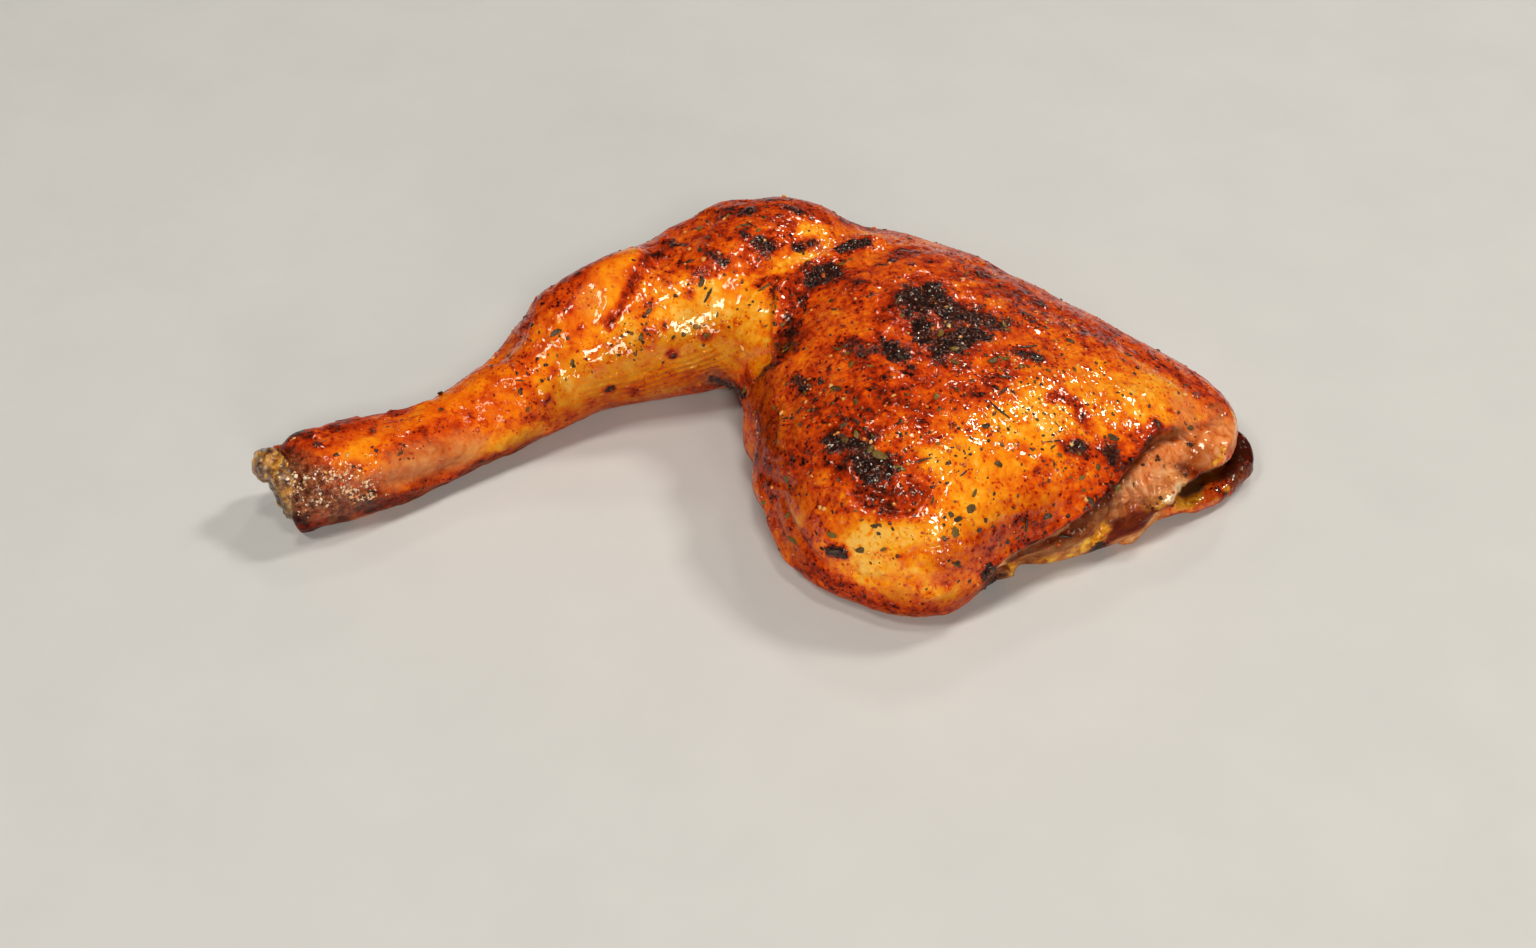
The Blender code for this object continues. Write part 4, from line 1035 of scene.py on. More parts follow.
def bits(name, places, sizes, seed, sink=0.3, ball_kind=1, rough=0.22, bend=0.0, tilt=0.3, turns=None,
         values=None, flat_end=False):
    """One mesh of many small lumps: each is a ball drawn out to its three half sizes in mm,
    dented, bent, turned about its own axis and sunk into the skin."""
    pts, normals = places
    rng = np.random.default_rng(seed)
    count = len(pts)
    v0, f0 = BALLS[ball_kind]
    v = np.repeat(v0[None], count, 0)
    v = v * (1 + rough * rng.normal(size=(count, len(v0), 1)).clip(-1.6, 1.6))
    if flat_end:
        v = np.sign(v) * np.abs(v) ** 0.75
    v = v * sizes[:, None, :]
    v[:, :, 2] += (bend * rng.normal(size=(count, 1))) * (v[:, :, 0] ** 2) / np.maximum(sizes[:, :1], 0.1)
    v[:, :, 1] += (0.6 * bend * rng.normal(size=(count, 1))) * (v[:, :, 0] ** 2) / np.maximum(sizes[:, :1], 0.1)
    v[:, :, 2] += sizes[:, 2][:, None] * (1 - 2 * sink)
    n = normals + tilt * rng.normal(size=(count, 3)) * 0.5
    n /= np.linalg.norm(n, axis=1)[:, None]
    helper = np.where(np.abs(n[:, 2:3]) < 0.9, np.array((0, 0, 1.0)), np.array((1.0, 0, 0)))
    e1 = np.cross(helper, n)
    e1 /= np.linalg.norm(e1, axis=1)[:, None]
    e2 = np.cross(n, e1)
    turn = rng.random(count) * 2 * math.pi
    if turns is not None:
        ok = ~np.isnan(turns[:, 0])
        way = np.where(ok[:, None], np.nan_to_num(turns), 0)
        turn = np.where(ok, np.arctan2((way * e2).sum(1), (way * e1).sum(1)), turn)
    d1 = e1 * np.cos(turn)[:, None] + e2 * np.sin(turn)[:, None]
    d2 = np.cross(n, d1)
    w = (pts[:, None] + v[:, :, :1] * d1[:, None] + v[:, :, 1:2] * d2[:, None] + v[:, :, 2:] * n[:, None])
    w[:, :, 2] = np.maximum(w[:, :, 2], 0.05)
    faces = (f0[None] + (np.arange(count) * len(v0))[:, None, None]).reshape(-1, 3)
    mesh = bpy.data.meshes.new(name)
    mesh.vertices.add(count * len(v0))
    mesh.vertices.foreach_set("co", (w.reshape(-1) * MM))
    mesh.loops.add(faces.size)
    mesh.loops.foreach_set("vertex_index", faces.ravel().astype(np.int32))
    mesh.polygons.add(len(faces))
    mesh.polygons.foreach_set("loop_start", np.arange(0, faces.size, 3, dtype=np.int32))
    mesh.update(calc_edges=True)
    mesh.validate()
    attribute(mesh, "vary", np.repeat(rng.random(count), len(v0)))
    if values is not None:
        attribute(mesh, "roast", np.repeat(values, len(v0)))
    mesh.shade_smooth()
    return add(name, mesh)


# ------------------------------------------------------------------ materials
def srgb(r, g, b):
    def lin(c):
        c /= 255
        return c / 12.92 if c <= 0.04045 else ((c + 0.055) / 1.055) ** 2.4
    return (lin(r), lin(g), lin(b), 1.0)


class Look:
    """A Principled material, with short names for the nodes that feed it."""

    def __init__(self, name):
        self.mat = bpy.data.materials.new(name)
        self.mat.use_nodes = True
        self.tree = self.mat.node_tree
        self.shader = self.tree.nodes["Principled BSDF"]
        self.where = self.tree.nodes.new("ShaderNodeTexCoord").outputs["Object"]

    def link(self, a, b):
        if hasattr(a, "is_output") or isinstance(a, bpy.types.NodeSocket):
            self.tree.links.new(a, b)
        elif isinstance(a, tuple) and len(a) == 4 and b.type == "VECTOR":
            b.default_value = a[:3]
        else:
            b.default_value = a

    def put(self, name, value):
        self.link(value, self.shader.inputs[name])

    def attr(self, name):
        n = self.tree.nodes.new("ShaderNodeAttribute")
        n.attribute_name = name
        return n.outputs["Fac"]

    def math(self, op, a, b=0.0, c=0.0, clamp=False):
        n = self.tree.nodes.new("ShaderNodeMath")
        n.operation, n.use_clamp = op, clamp
        for k, value in enumerate((a, b, c)):
            self.link(value, n.inputs[k])
        return n.outputs[0]

    def add(self, *terms):
        out = terms[0]
        for t in terms[1:]:
            out = self.math("ADD", out, t)
        return out

    def mul(self, *terms):
        out = terms[0]
        for t in terms[1:]:
            out = self.math("MULTIPLY", out, t)
        return out

    def spread(self, value, low, high, to_low=0.0, to_high=1.0):
        n = self.tree.nodes.new("ShaderNodeMapRange")
        n.interpolation_type = "SMOOTHSTEP"
        self.link(value, n.inputs["Value"])
        n.inputs["From Min"].default_value, n.inputs["From Max"].default_value = low, high
        n.inputs["To Min"].default_value, n.inputs["To Max"].default_value = to_low, to_high
        return n.outputs["Result"]

    def scaled(self, factors, turn=0.0):
        n = self.tree.nodes.new("ShaderNodeMapping")
        self.link(self.where, n.inputs["Vector"])
        n.inputs["Rotation"].default_value = (0, 0, turn)
        n.inputs["Scale"].default_value = factors
        return n.outputs["Vector"]

    def noise(self, size, detail=3.0, rough=0.5, twist=0.0, where=None):
        """size in mm"""
        n = self.tree.nodes.new("ShaderNodeTexNoise")
        self.link(where or self.where, n.inputs["Vector"])
        n.inputs["Scale"].default_value = 1000.0 / size
        n.inputs["Detail"].default_value = detail
        n.inputs["Roughness"].default_value = rough
        n.inputs["Distortion"].default_value = twist
        return n.outputs["Fac"]

    def spots(self, size, feature="F1", out="Distance", where=None, random=1.0):
        n = self.tree.nodes.new("ShaderNodeTexVoronoi")
        n.feature = feature
        self.link(where or self.where, n.inputs["Vector"])
        n.inputs["Scale"].default_value = 1000.0 / size
        n.inputs["Randomness"].default_value = random
        return n.outputs[out]

    def facets(self, size):
        """Chips of about size mm, each a plane of its own slope; multiply by depth for the slope."""
        n = self.tree.nodes.new("ShaderNodeTexVoronoi")
        self.link(self.where, n.inputs["Vector"])
        n.inputs["Scale"].default_value = 1000.0 / size
        parts = []
        for op, a, b in (("SUBTRACT", self.where, n.outputs["Position"]), ("SUBTRACT", n.outputs["Color"], (0.5, 0.5, 0.5))):
            v = self.tree.nodes.new("ShaderNodeVectorMath")
            v.operation = op
            self.tree.links.new(a, v.inputs[0])
            if isinstance(b, tuple):
                v.inputs[1].default_value = b
            else:
                self.tree.links.new(b, v.inputs[1])
            parts.append(v.outputs[0])
        v = self.tree.nodes.new("ShaderNodeVectorMath")
        v.operation = "DOT_PRODUCT"
        self.tree.links.new(parts[0], v.inputs[0])
        self.tree.links.new(parts[1], v.inputs[1])
        return self.math("MULTIPLY", v.outputs["Value"], 2000.0)

    def mix(self, fac, a, b, kind="MIX"):
        n = self.tree.nodes.new("ShaderNodeMix")
        n.data_type, n.blend_type = "RGBA", kind
        n.clamp_factor = True
        self.link(fac, n.inputs[0])
        self.link(a, n.inputs[6])
        self.link(b, n.inputs[7])
        return n.outputs[2]

    def ramp(self, fac, stops, kind="EASE"):
        n = self.tree.nodes.new("ShaderNodeValToRGB")
        r = n.color_ramp
        r.interpolation = kind
        while len(r.elements) < len(stops):
            r.elements.new(0.5)
        for e, (at_, colour) in zip(r.elements, stops):
            e.position, e.color = at_, colour
        self.link(fac, n.inputs["Fac"])
        return n.outputs["Color"]

    def bump(self, height, depth, normal=None, strength=1.0):
        """depth in mm"""
        n = self.tree.nodes.new("ShaderNodeBump")
        n.inputs["Strength"].default_value = strength
        n.inputs["Distance"].default_value = depth * MM
        self.link(height, n.inputs["Height"])
        if normal is not None:
            self.link(normal, n.inputs["Normal"])
        return n.outputs["Normal"]


ROASTED = [(0.00, srgb(250, 193, 84)), (0.10, srgb(248, 169, 36)), (0.22, srgb(242, 145, 14)),
           (0.35, srgb(233, 115, 8)), (0.48, srgb(215, 85, 6)), (0.60, srgb(190, 57, 5)),
           (0.70, srgb(150, 38, 4)), (0.80, srgb(97, 25, 4)), (0.90, srgb(48, 15, 5)), (1.00, srgb(16, 7, 5))]

k = Look("roasted_skin")
level = k.add(k.attr("roast"),
              k.math("MULTIPLY_ADD", k.noise(4.6, 4, 0.6, 0.6), 0.80, -0.40),
              k.mul(k.spread(k.attr("roast"), 0.12, 0.55, 0.45, 1.0), k.math("MULTIPLY_ADD", k.attr("plain"), -0.6, 1.0),
                    k.math("MULTIPLY_ADD", k.noise(1.3, 4, 0.65), 0.72, -0.36)),
              k.spread(k.noise(2.7, 5, 0.7, 0.8), 0.56, 0.68, 0.0, 0.26), -0.02,
              k.mul(k.math("MULTIPLY_ADD", k.attr("plain"), -0.6, 1.0), k.spread(k.spots(1.9), 0.30, 0.10, 0.0, 0.22)),
              k.mul(k.spread(k.noise(9, 3, 0.6), 0.46, 0.60), k.spread(k.spots(1.15), 0.36, 0.10, 0.0, 0.34)))
skin_colour = k.ramp(level, ROASTED, "LINEAR")
skin_colour = k.mix(k.mul(k.attr("pale"), k.spread(k.noise(3.0, 4, 0.6), 0.25, 0.6, 0.5, 1.0)), skin_colour,
                    k.ramp(k.noise(2.6, 5, 0.6, 0.5), [(0.30, srgb(232, 160, 96)), (0.55, srgb(210, 124, 66)),
                                                       (0.75, srgb(180, 86, 38))], "LINEAR"))
grey_colour = k.ramp(k.noise(1.1, 4, 0.7), [(0.34, srgb(46, 20, 12)), (0.49, srgb(146, 82, 52)),
                                            (0.68, srgb(218, 150, 102))], "LINEAR")
skin_colour = k.mix(k.mul(k.attr("grey"), k.spread(k.noise(3.4, 3, 0.6), 0.3, 0.6, 0.45, 0.95)), skin_colour, grey_colour)
fibre_at = k.scaled((0.30, 1.0, 1.0), -0.9)
fibres = k.noise(1.8, 4, 0.6, 0.4, fibre_at)
meat_colour = k.ramp(fibres, [(0.28, srgb(164, 84, 38)), (0.43, srgb(202, 126, 68)), (0.56, srgb(224, 160, 100)),
                              (0.74, srgb(238, 194, 142))], "LINEAR")
meat_colour = k.mix(k.mul(k.attr("rosy"), 0.75), meat_colour,
                    k.ramp(fibres, [(0.3, srgb(176, 88, 50)), (0.6, srgb(222, 142, 94))], "LINEAR"))
# underdone red, darkened as painted shade
meat_colour = k.mix(k.attr("rawred_and_shade"), meat_colour,
                    k.ramp(fibres, [(0.3, srgb(72, 16, 4)), (0.55, srgb(138, 42, 10)), (0.75, srgb(180, 76, 20))], "LINEAR"))
meat_colour = k.mix(k.spread(k.noise(5.0, 4, 0.6, 0.8), 0.48, 0.64, 0.0, 0.6), meat_colour, srgb(180, 84, 20))
# painted shade: darker in the troughs of the wrinkles across the bare meat
meat_colour = k.mix(k.mul(k.attr("pleat"), k.attr("meat"), k.spread(k.math("SINE", k.mul(k.attr("phase"), 2 * math.pi)), 0.2, -0.9, 0.0, 0.6)),
                    meat_colour, srgb(150, 74, 30))
colour = k.mix(k.attr("meat"), skin_colour, meat_colour)
# the fat's yellow, also used for the painted highlights on the knob's lip, the skin's rim and the flap
colour = k.mix(k.attr("fat_and_painted_glint"), colour, k.ramp(k.noise(1.6, 4, 0.65), [(0.34, srgb(138, 62, 10)), (0.5, srgb(214, 138, 20)),
                                                                    (0.66, srgb(244, 196, 70))], "LINEAR"))
colour = k.mix(k.mul(k.attr("sinew"), k.attr("meat")), colour,
               k.ramp(k.noise(1.2, 3, 0.6), [(0.3, srgb(176, 130, 86)), (0.65, srgb(226, 200, 164))], "LINEAR"))
tissue_colour = k.ramp(k.noise(1.5, 4, 0.7, 0.6), [(0.30, srgb(32, 16, 8)), (0.44, srgb(86, 54, 24)),
                                                   (0.60, srgb(150, 108, 50)), (0.75, srgb(206, 168, 104))], "LINEAR")
knob_colour = k.ramp(k.noise(2.8, 4, 0.6, 0.6), [(0.32, srgb(178, 78, 26)), (0.50, srgb(222, 132, 70)), (0.66, srgb(238, 172, 122))], "LINEAR")
colour = k.mix(k.mul(k.attr("knob"), k.attr("meat"), k.math("SUBTRACT", 1.0, k.attr("fat_and_painted_glint"))), colour, knob_colour)
colour = k.mix(k.attr("tissue"), colour, tissue_colour)
below = k.ramp(k.noise(6.5, 5, 0.62, 0.7), [(0.30, srgb(120, 40, 12)), (0.45, srgb(186, 82, 26)),
                                            (0.60, srgb(212, 124, 62)), (0.75, srgb(226, 156, 98))], "LINEAR")
colour = k.mix(k.mul(k.attr("under"), k.spread(k.noise(9, 3, 0.6), 0.40, 0.58, 0.15, 0.8)), colour, below)
# painted shade: a warm dark multiply where the shade mask is set
colour = k.mix(k.math("MULTIPLY", k.attr("painted_shade"), 1.05, clamp=True), colour, (0.16, 0.045, 0.022, 1.0), "MULTIPLY")
# painted shade: near black-brown in the hollow under the hip end
colour = k.mix(k.mul(k.attr("hollow"), 0.96), colour, k.ramp(k.noise(3, 3, 0.6), [(0.3, srgb(26, 8, 3)), (0.7, srgb(66, 22, 8))], "LINEAR"))
burnt_edge = k.math("ADD", k.attr("char"), k.math("MULTIPLY_ADD", k.noise(2.0, 5, 0.75), 2.3, -1.15))
burnt = k.mul(k.spread(burnt_edge, 0.38, 0.80), k.spread(k.attr("char"), 0.04, 0.22))
char_colour = k.ramp(k.noise(1.4, 5, 0.7), [(0.30, srgb(9, 4, 3)), (0.45, srgb(24, 9, 5)), (0.57, srgb(54, 17, 7)),
                                            (0.68, srgb(108, 38, 10))], "LINEAR")
colour = k.mix(burnt, colour, char_colour)
k.put("Base Color", colour)
k.put("Roughness", k.add(k.spread(k.noise(2.4, 4, 0.6), 0.3, 0.7, 0.26, 0.44), k.mul(burnt, 0.10)))
k.put("Coat Weight", k.mul(k.spread(k.noise(7, 3, 0.6), 0.32, 0.55, 0.55, 1.0),
                           k.math("MULTIPLY_ADD", k.attr("hollow"), -0.8, 1.0), k.math("MULTIPLY_ADD", k.attr("rawred_and_shade"), -0.5, 1.0),
                           k.math("MAXIMUM", k.math("MAXIMUM", k.spread(k.attr("char"), 0.08, 0.3), k.attr("grey")),
                                  k.spread(k.attr("roast"), 0.50, 0.66, 1.0, 0.55)),
                           k.math("MULTIPLY_ADD", k.attr("plain"), -0.25, 1.0), k.math("MULTIPLY_ADD", k.attr("matte"), -0.5, 1.0), k.math("MULTIPLY_ADD", k.attr("knob"), -0.4, 1.0),
                           k.math("MULTIPLY_ADD", k.attr("wall"), -0.78, 1.0), k.math("MULTIPLY_ADD", k.attr("painted_shade"), -0.6, 1.0)))
k.shader.inputs["Coat Roughness"].default_value = 0.035
k.shader.inputs["Coat IOR"].default_value = 1.52
k.shader.inputs["Specular IOR Level"].default_value = 0.03
k.shader.inputs["Subsurface Weight"].default_value = 0.12
k.shader.inputs["Subsurface Radius"].default_value = (1.0, 0.35, 0.12)
k.shader.inputs["Subsurface Scale"].default_value = 0.002
calm = k.math("MULTIPLY_ADD", k.attr("tight"), -0.76, 1.0)
wet = k.bump(k.mul(calm, k.noise(3.6, 0.5, 0.5)), 0.46)
wet = k.bump(k.mul(calm, k.noise(1.6, 0.3, 0.5)), 0.15, wet)
wet = k.bump(k.mul(calm, k.spread(k.spots(1.7, random=0.95), 0.36, 0.0)), 0.05, wet)
wet = k.bump(k.mul(burnt, k.noise(2.4, 0.5, 0.6)), 0.32, wet)
rough_parts = k.math("MAXIMUM", burnt, k.attr("grey"))
wet = k.bump(k.mul(rough_parts, k.facets(0.95)), 0.20, wet)
wet = k.bump(k.mul(k.math("SUBTRACT", 1.0, rough_parts), calm, k.facets(0.85)), 0.09, wet)
pleats = k.mul(k.attr("pleat"), k.math("SINE", k.mul(k.attr("phase"), 2 * math.pi)))
wet = k.bump(pleats, 0.17, wet)
k.put("Coat Normal", wet)
fine = k.bump(k.noise(0.6, 3, 0.6), 0.10, wet)
k.put("Normal", k.bump(k.mul(k.attr("meat"), k.math("SUBTRACT", 1.0, k.attr("knob")), fibres), 0.12, fine))
SKIN = k.mat

k = Look("gristle")
grain = k.noise(2.4, 5, 0.6, 0.8)
colour = k.ramp(grain, [(0.32, srgb(44, 20, 7)), (0.43, srgb(112, 60, 16)), (0.53, srgb(196, 134, 38)),
                        (0.66, srgb(234, 188, 92))], "LINEAR")
colour = k.mix(k.spread(k.noise(4.2, 4, 0.65), 0.48, 0.60, 0.0, 0.85), colour, srgb(66, 34, 16))
colour = k.mix(k.mul(k.attr("face"), k.spread(k.noise(3.0, 4, 0.6), 0.35, 0.6, 0.9, 0.45)), colour, srgb(44, 22, 9))
k.put("Base Color", colour)
k.put("Roughness", k.spread(grain, 0.3, 0.7, 0.25, 0.5))
k.put("Coat Weight", k.math("MULTIPLY_ADD", k.attr("face"), -0.55, 1.0))
k.shader.inputs["Coat Roughness"].default_value = 0.05
k.shader.inputs["Subsurface Weight"].default_value = 0.15
k.shader.inputs["Subsurface Radius"].default_value = (1.0, 0.6, 0.3)
k.shader.inputs["Subsurface Scale"].default_value = 0.002
grained = k.bump(k.noise(1.0, 1, 0.5), 0.22, k.bump(grain, 0.5))
k.put("Normal", grained)
k.shader.inputs["Coat IOR"].default_value = 1.6
k.put("Coat Normal", k.bump(k.facets(0.8), 0.30, k.bump(grain, 0.2)))
GRISTLE = k.mat


def bit_look(name, stops, rough=(0.3, 0.5), coat=0.6, bump=0.15, grain_mm=0.5, use_roast=False, sss=0.0):
    k = Look(name)
    n = k.noise(grain_mm, 3, 0.6)
    if use_roast:
        colour = k.ramp(k.add(k.attr("roast"), k.math("MULTIPLY_ADD", n, 0.16, -0.08)), ROASTED, "LINEAR")
    else:
        colour = k.ramp(k.add(k.mul(k.attr("vary"), 0.7), k.mul(n, 0.3)), stops, "LINEAR")
    k.put("Base Color", colour)
    k.put("Roughness", k.spread(n, 0.3, 0.7, *rough))
    k.shader.inputs["Coat Weight"].default_value = coat
    k.shader.inputs["Coat Roughness"].default_value = 0.06
    k.shader.inputs["Coat IOR"].default_value = 1.45
    k.shader.inputs["Specular IOR Level"].default_value = 0.3
    if sss:
        k.shader.inputs["Subsurface Weight"].default_value = sss
        k.shader.inputs["Subsurface Radius"].default_value = (1.0, 0.5, 0.2)
        k.shader.inputs["Subsurface Scale"].default_value = 0.001
    grained = k.bump(n, bump)
    k.put("Normal", grained)
    k.put("Coat Normal", grained)
    return k.mat


PEPPER = bit_look("peppercorn_bits", [(0.1, srgb(20, 10, 7)), (0.5, srgb(52, 24, 14)), (0.8, srgb(96, 48, 24)),
                                      (1.0, srgb(150, 84, 42))])
CRUST = bit_look("burnt_crumbs", [(0.1, srgb(10, 5, 4)), (0.5, srgb(34, 15, 8)), (0.9, srgb(98, 40, 14))],
                 (0.2, 0.4), 0.5, 0.2)
HERB = bit_look("herb_flakes", [(0.1, srgb(40, 26, 8)), (0.4, srgb(80, 56, 12)), (0.7, srgb(108, 86, 20)),
                                (1.0, srgb(138, 98, 26))], (0.35, 0.6), 0.5, 0.2)
NEEDLE = bit_look("herb_needles", [(0.1, srgb(24, 14, 8)), (0.6, srgb(58, 34, 16)), (1.0, srgb(110, 76, 30))])
CHIP = bit_look("garlic_and_chilli", [(0.05, srgb(150, 44, 12)), (0.35, srgb(206, 92, 22)), (0.6, srgb(232, 150, 60)),
                                      (1.0, srgb(246, 206, 136))], (0.25, 0.45), 0.8, 0.1, sss=0.2)
# pale fat granules, coloured near white as painted glints on the ankle's grey zone
GRANULE = bit_look("fat_granules_painted_glint", [(0.1, srgb(196, 120, 70)), (0.4, srgb(236, 184, 140)), (0.8, srgb(252, 226, 200)),
                                 (1.0, srgb(255, 244, 228))], (0.12, 0.3), 1.0, 0.1, sss=0.3)
BEAD = bit_look("oil_beads", None, (0.08, 0.18), 1.0, 0.02, 0.8, True)


def dressed(o, mat, ride="root"):
    o.data.materials.clear()
    o.data.materials.append(mat)
    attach(o, ride)
    return o


dressed(body, SKIN)
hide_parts("chicken_leg")

# ------------------------------------------------------------------ the gristly end of the shin bone
end = facing(ankle @ (Vector((0.0, 0.0, 2.9)) * MM), (-0.86, -0.50, -0.10))
end_out, end_at = np.array(end.to_3x3().col[2]), np.array(end.translation) / MM
stub = remeshed(lobe("stub", ankle, (0.0, 0.0, -5.0), (7.9, 8.5, 12.5)), 0.4, 2)
q, qn = read(stub)
beyond = np.clip((q - end_at) @ end_out, 0, None)
flat = ramp(beyond, 0.0, 0.6)
q = q - beyond[:, None] * end_out
write(stub, q)
knob = remeshed(joined("gristle", [stub, lobe("knob", ankle, (-3.6, 4.4, 1.7), (4.2, 4.0, 4.0))]), 0.36, 3)
q, qn = read(knob)
on_end = ramp((q - end_at) @ end_out, -1.6, -0.5)
local = (q - end_at)
eu, ev = local @ np.array(end.to_3x3().col[0]), local @ np.array(end.to_3x3().col[1])
lift = 0.45 * fbm(q, 2.6, 3, 200) + 0.16 * fbm(q, 1.0, 2, 201)
lift -= on_end * (1.5 * np.exp(-((eu + 0.4) / 1.1) ** 2 - ((ev + 2.0) / 4.6) ** 2)
                  + 0.8 * np.exp(-((eu - 2.6) / 1.0) ** 2 - ((ev - 0.5) / 2.2) ** 2)
                  + 0.6 * ridged(q, 2.4, 2, 202))
q = q + qn * lift[:, None]
q[:, 2] = np.maximum(q[:, 2], 0.05)
write(knob, q)
attribute(knob, "face", on_end * (1 - ramp(q[:, 2], 11.0, 14.5)))
knob.shade_smooth()
gristle = add("ankle_gristle", knob)
dressed(gristle, GRISTLE)
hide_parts("ankle_knuckle")
print("gristle triangles", sum(len(w.vertices) - 2 for w in knob.polygons))

# ------------------------------------------------------------------ what lies on the skin
F = {name: on_face(values) for name, values in A.items()}
fz = face_normal[:, 2]
shown = ramp(fz, -0.35, 0.3) * (1 - F["under"])
clump = 0.35 + 1.3 * ramp(fbm(face_at, 9, 3, 210), -0.1, 0.5)


def near(radius, points):
    return 1 - ramp(from_line(face_at, face_normal, np.array([seen(*q)[0] for q in smooth_line(points, 3)]))[0],
                    radius * 0.5, radius * 1.5)


dense = (0.45 + 1.0 * near(16, [(830, 420), (900, 430), (950, 400)]) + 0.5 * near(14, [(1000, 500), (1060, 480), (1110, 450)])
         + 0.5 * near(10, [(740, 230), (790, 230)]) + 0.35 * near(8, [(620, 370), (700, 340), (750, 320)])
         + 0.6 * near(12, [(960, 320), (1040, 340)]) - 0.3 * near(8, [(600, 310), (630, 290)])
         - 0.35 * near(9, [(420, 430), (480, 410)]))
dense = np.maximum(dense, 0.06) * shown * ramp(fz, -0.12, 0.22) * clump * (1 - 0.75 * F["meat"]) * (1 - F["tissue"])
dense = dense * (1 - 0.7 * ramp(face_normal[:, 1], 0.15, 0.6)) * (1 - 0.95 * np.maximum(F["cave"], F["hollow"])) * (1 - ramp(face_at[:, 0] - SHIFT[0], 100, 103))


def sizes_of(count, seed, low, high, aspect=(1, 0.8, 0.6), power=2.0):
    rng = np.random.default_rng(seed)
    s = low + (high - low) * rng.random(count) ** power
    return s[:, None] * (np.array(aspect) * (1 + 0.2 * rng.normal(size=(count, 3)).clip(-1.5, 1.5)))


pts, nrm, rows = scattered(1250, dense, 301)
dressed(bits("pepper", (pts, nrm), sizes_of(1250, 302, 0.16, 0.62, (1, 0.8, 0.4)), 303, sink=0.5), PEPPER)

pepper_places = [(1022, 519), (1068, 516), (958, 562), (991, 571), (1034, 522), (986, 520), (979, 530), (945, 539), (1046, 511),
                 (1086, 508), (1013, 508), (1098, 497), (1000, 540), (1118, 470), (1098, 476), (1133, 440), (1156, 421), (1149, 406),
                 (1104, 375), (1137, 368), (1016, 355), (1064, 372), (930, 455), (921, 437), (879, 533), (862, 520), (833, 512),
                 (812, 470), (806, 452), (801, 425), (826, 404), (880, 398), (870, 330), (1190, 445), (1195, 437), (1160, 498),
                 (646, 324), (675, 296), (628, 332), (611, 345), (592, 372), (574, 366), (527, 373), (494, 395), (520, 392)]
ps, ns = zip(*[seen(*q) for q in pepper_places])
dressed(bits("peppercorn_chunks", (np.array(ps), np.array(ns)), sizes_of(len(ps), 305, 0.34, 0.62, (1, 0.8, 0.6), 1.2), 306,
             sink=0.35, ball_kind=1, rough=0.3), PEPPER)

pts, nrm, rows = scattered(900, F["char"] ** 1.5 * (0.2 + shown), 311)
dressed(bits("burnt_crust", (pts, nrm), sizes_of(900, 312, 0.12, 0.5, (1, 0.85, 0.6)), 313, sink=0.5),
        CRUST)

pts, nrm, rows = scattered(130, dense * ramp(face_at[:, 0] - SHIFT[0], -84, -70), 321)
herb_places = [(970, 509, 35, 1.4, 0.8), (975, 493, 60, 1.1, 0.7), (955, 532, 80, 1.2, 0.8), (958, 519, 20, 0.9, 0.6),
               (861, 550, 10, 1.3, 0.7), (875, 526, 20, 1.0, 0.5), (832, 535, -20, 1.3, 0.6), (936, 397, 70, 1.0, 0.6),
               (941, 334, 60, 1.0, 0.6), (955, 349, 10, 1.2, 0.6), (787, 516, 70, 1.0, 0.6), (845, 440, 0, 1.0, 0.6),
               (944, 538, -60, 1.0, 0.4), (956, 564, -25, 1.3, 0.4), (999, 464, -15, 1.2, 0.7),
               (879, 455, -20, 1.6, 1.0), (1190, 428, 0, 1.1, 0.6), (707, 335, 0, 1.0, 0.6)]


def by_hand(rows_):
    """Places, directions and half sizes for bits set by pixel."""
    ps, ns, sz, ways = [], [], [], []
    for px, py, angle, long_, wide in rows_:
        p_, n_ = seen(px, py)
        a_ = math.radians(angle)
        q_, _ = seen(px + 8 * math.cos(a_), py - 8 * math.sin(a_))
        ps.append(p_), ns.append(n_), sz.append((long_, wide, 0.16)), ways.append(q_ - p_)
    return np.array(ps), np.array(ns), np.array(sz), np.array(ways)


hp, hn, hs, hw = by_hand(herb_places)
rs = sizes_of(130, 322, 0.5, 1.35, (1, 0.5, 0.13), 1.5)
dressed(bits("herb_flakes", (np.vstack([pts, hp]), np.vstack([nrm, hn])), np.vstack([rs, hs]), 323, sink=0.2,
             ball_kind=2, rough=0.10, bend=0.25, tilt=0.35,
             turns=np.vstack([np.full((130, 3), np.nan), hw])), HERB)

pts, nrm, rows = scattered(18, dense, 331)
needle_places = [(1026, 347, 2, 2.7, 0.28), (1034, 358, -12, 2.2, 0.3), (1003, 391, 40, 1.9, 0.3), (1062, 566, 25, 1.2, 0.25),
                 (836, 552, -5, 1.9, 0.45), (990, 337, 30, 1.8, 0.3), (898, 300, 55, 1.8, 0.3), (883, 265, 0, 1.5, 0.25),
                 (1128, 355, -25, 1.3, 0.25), (688, 262, 20, 1.8, 0.4), (765, 287, 28, 1.9, 0.3)]
hp, hn, hs, hw = by_hand(needle_places)
rs = sizes_of(18, 332, 0.9, 2.4, (1, 0.13, 0.11), 1.4)
dressed(bits("herb_needles", (np.vstack([pts, hp]), np.vstack([nrm, hn])), np.vstack([rs, hs]), 333, sink=0.15,
             ball_kind=2, rough=0.06, bend=0.10, tilt=0.2,
             turns=np.vstack([np.full((18, 3), np.nan), hw])), NEEDLE)

pts, nrm, rows = scattered(420, dense * (1 - 0.9 * F["meat"]) * (1 - F["cave"]), 341)
dressed(bits("spice_chips", (pts, nrm), sizes_of(420, 342, 0.2, 0.72, (1, 0.75, 0.45), 1.8), 343, sink=0.35,
             ball_kind=1, rough=0.16), CHIP)

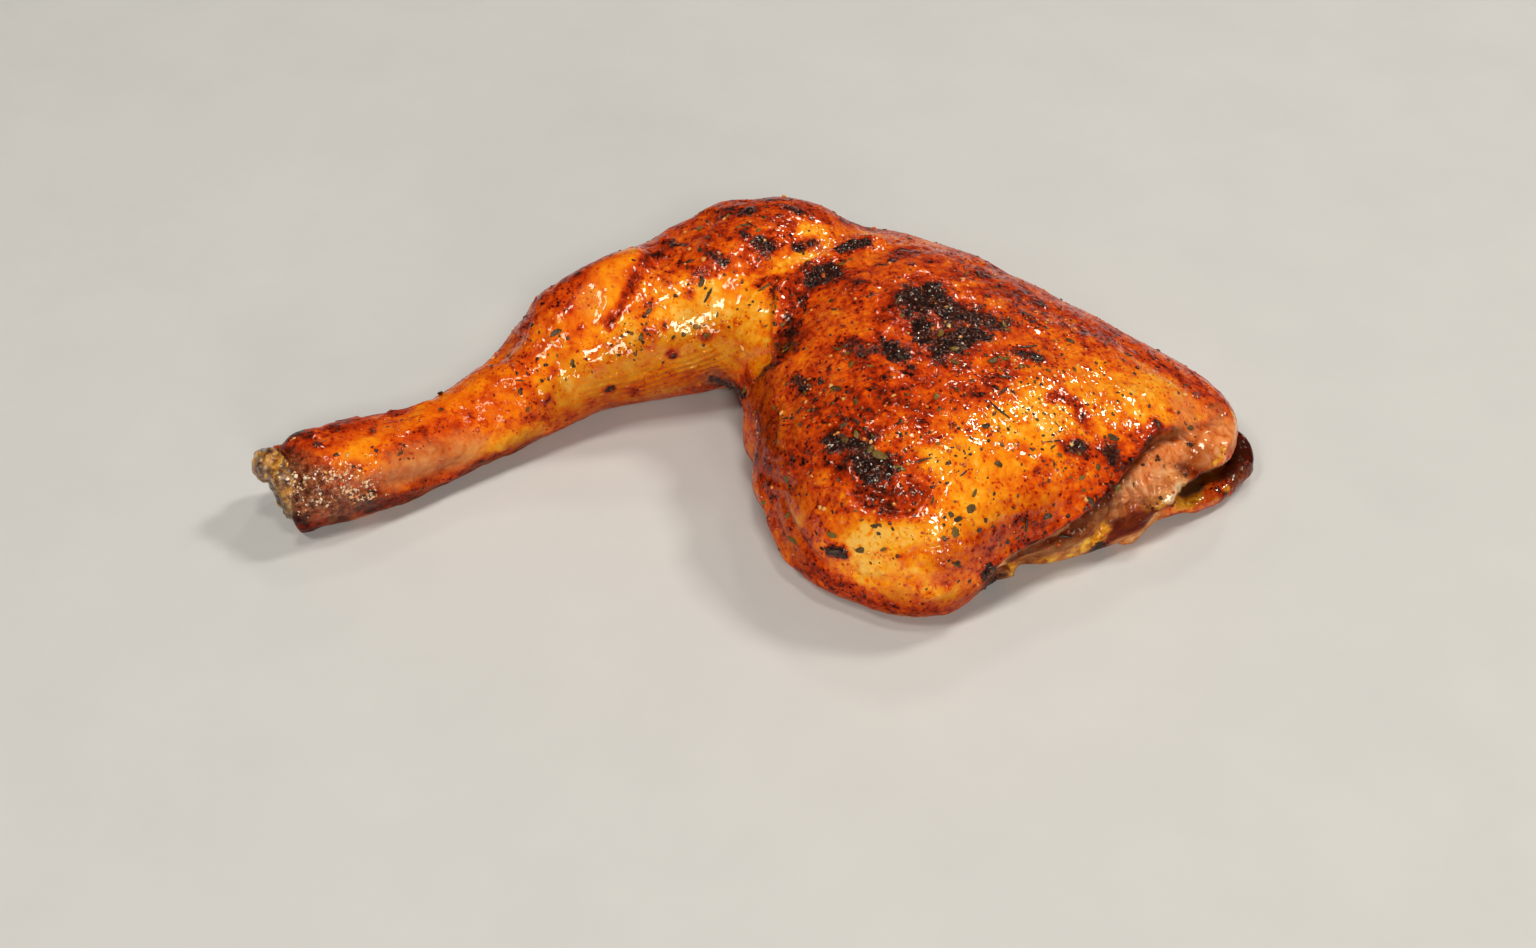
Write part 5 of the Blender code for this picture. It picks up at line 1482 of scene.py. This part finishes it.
# pale granules that stand in for glints on the ankle
moist = F["grey"] * (0.12 + near(4.2, [(298, 480), (322, 487), (348, 489), (374, 479)])) * (1 - ramp(face_at[:, 0] - SHIFT[0], -60, -40)) * ramp(fbm(face_at, 2.6, 3, 371), -0.1, 0.35) * ramp(fz, -0.4, 0.1)
pts, nrm, rows = scattered(230, moist, 372)
dressed(bits("fat_granules", (pts, nrm), sizes_of(230, 373, 0.15, 0.48, (1, 0.8, 0.55), 1.7), 374, sink=0.4, ball_kind=1,
             rough=0.25), GRANULE)

oily = shown * (0.4 + clump) * (1 - 0.4 * F["meat"]) * (1 - F["hollow"])
pts, nrm, rows = scattered(2400, oily, 351)
dressed(bits("oil_beads", (pts, nrm), sizes_of(2400, 352, 0.14, 0.60, (1, 0.85, 0.36), 2.4), 353, sink=0.5,
             ball_kind=1, rough=0.02, tilt=0.1, values=np.clip(F["roast"][rows] + 0.05, 0, 1)), BEAD)

# ------------------------------------------------------------------ floor and light
fm = bpy.data.meshes.new("floor")
bm = bmesh.new()
bmesh.ops.create_grid(bm, x_segments=1, y_segments=1, size=4.0)
bm.to_mesh(fm)
bm.free()
floor = add("floor", fm)
floor.location = (0, 0, 0)
k = Look("floor_paper")
k.put("Base Color", k.ramp(k.noise(30, 3, 0.6), [(0.3, srgb(204, 211, 222)), (0.7, srgb(208, 215, 226))], "LINEAR"))
k.put("Roughness", k.spread(k.noise(3, 3, 0.6), 0.3, 0.7, 0.55, 0.65))
floor.data.materials.append(k.mat)


def softbox(name, at_, aim, width, height, power, colour=(1, 1, 1)):
    light = bpy.data.lights.new(name, "AREA")
    light.shape, light.size, light.size_y = "RECTANGLE", width, height
    light.energy, light.color = power, colour
    o = bpy.data.objects.new(name, light)
    bpy.context.scene.collection.objects.link(o)
    o.location = at_
    o.rotation_euler = (Vector(aim) - Vector(at_)).to_track_quat("-Z", "Y").to_euler()
    return o


def lamp(name, azimuth, elevation, far, size, strength, colour=(1.0, 0.88, 0.70)):
    """Azimuth 0 is in front, 90 to the right; strength is the light that falls on the leg."""
    a_, e_ = math.radians(azimuth), math.radians(elevation)
    at_ = (far * math.cos(e_) * math.sin(a_), -far * math.cos(e_) * math.cos(a_), far * math.sin(e_))
    return softbox(name, at_, (0, 0, 0.01), size, size, strength * math.pi * far * far, colour)


lamp("overhead", 20, 84, 1.9, 0.29, 0.54)
lamp("back_key", 118, 48, 1.9, 0.28, 1.16)
lamp("front_key", 9, 38, 2.5, 0.50, 1.24)
lamp("low_key", 22, 17, 3.0, 0.47, 0.52)
lamp("left_key", -50, 58, 1.5, 0.27, 0.82)
lamp("far_key", 163, 45, 1.7, 0.18, 0.25)
world = bpy.data.worlds.new("studio")
world.use_nodes = True
world.node_tree.nodes["Background"].inputs["Color"].default_value = (0.95, 0.96, 1.0, 1)
world.node_tree.nodes["Background"].inputs["Strength"].default_value = 0.06
bpy.context.scene.world = world
bpy.context.scene.view_settings.view_transform = "Standard"
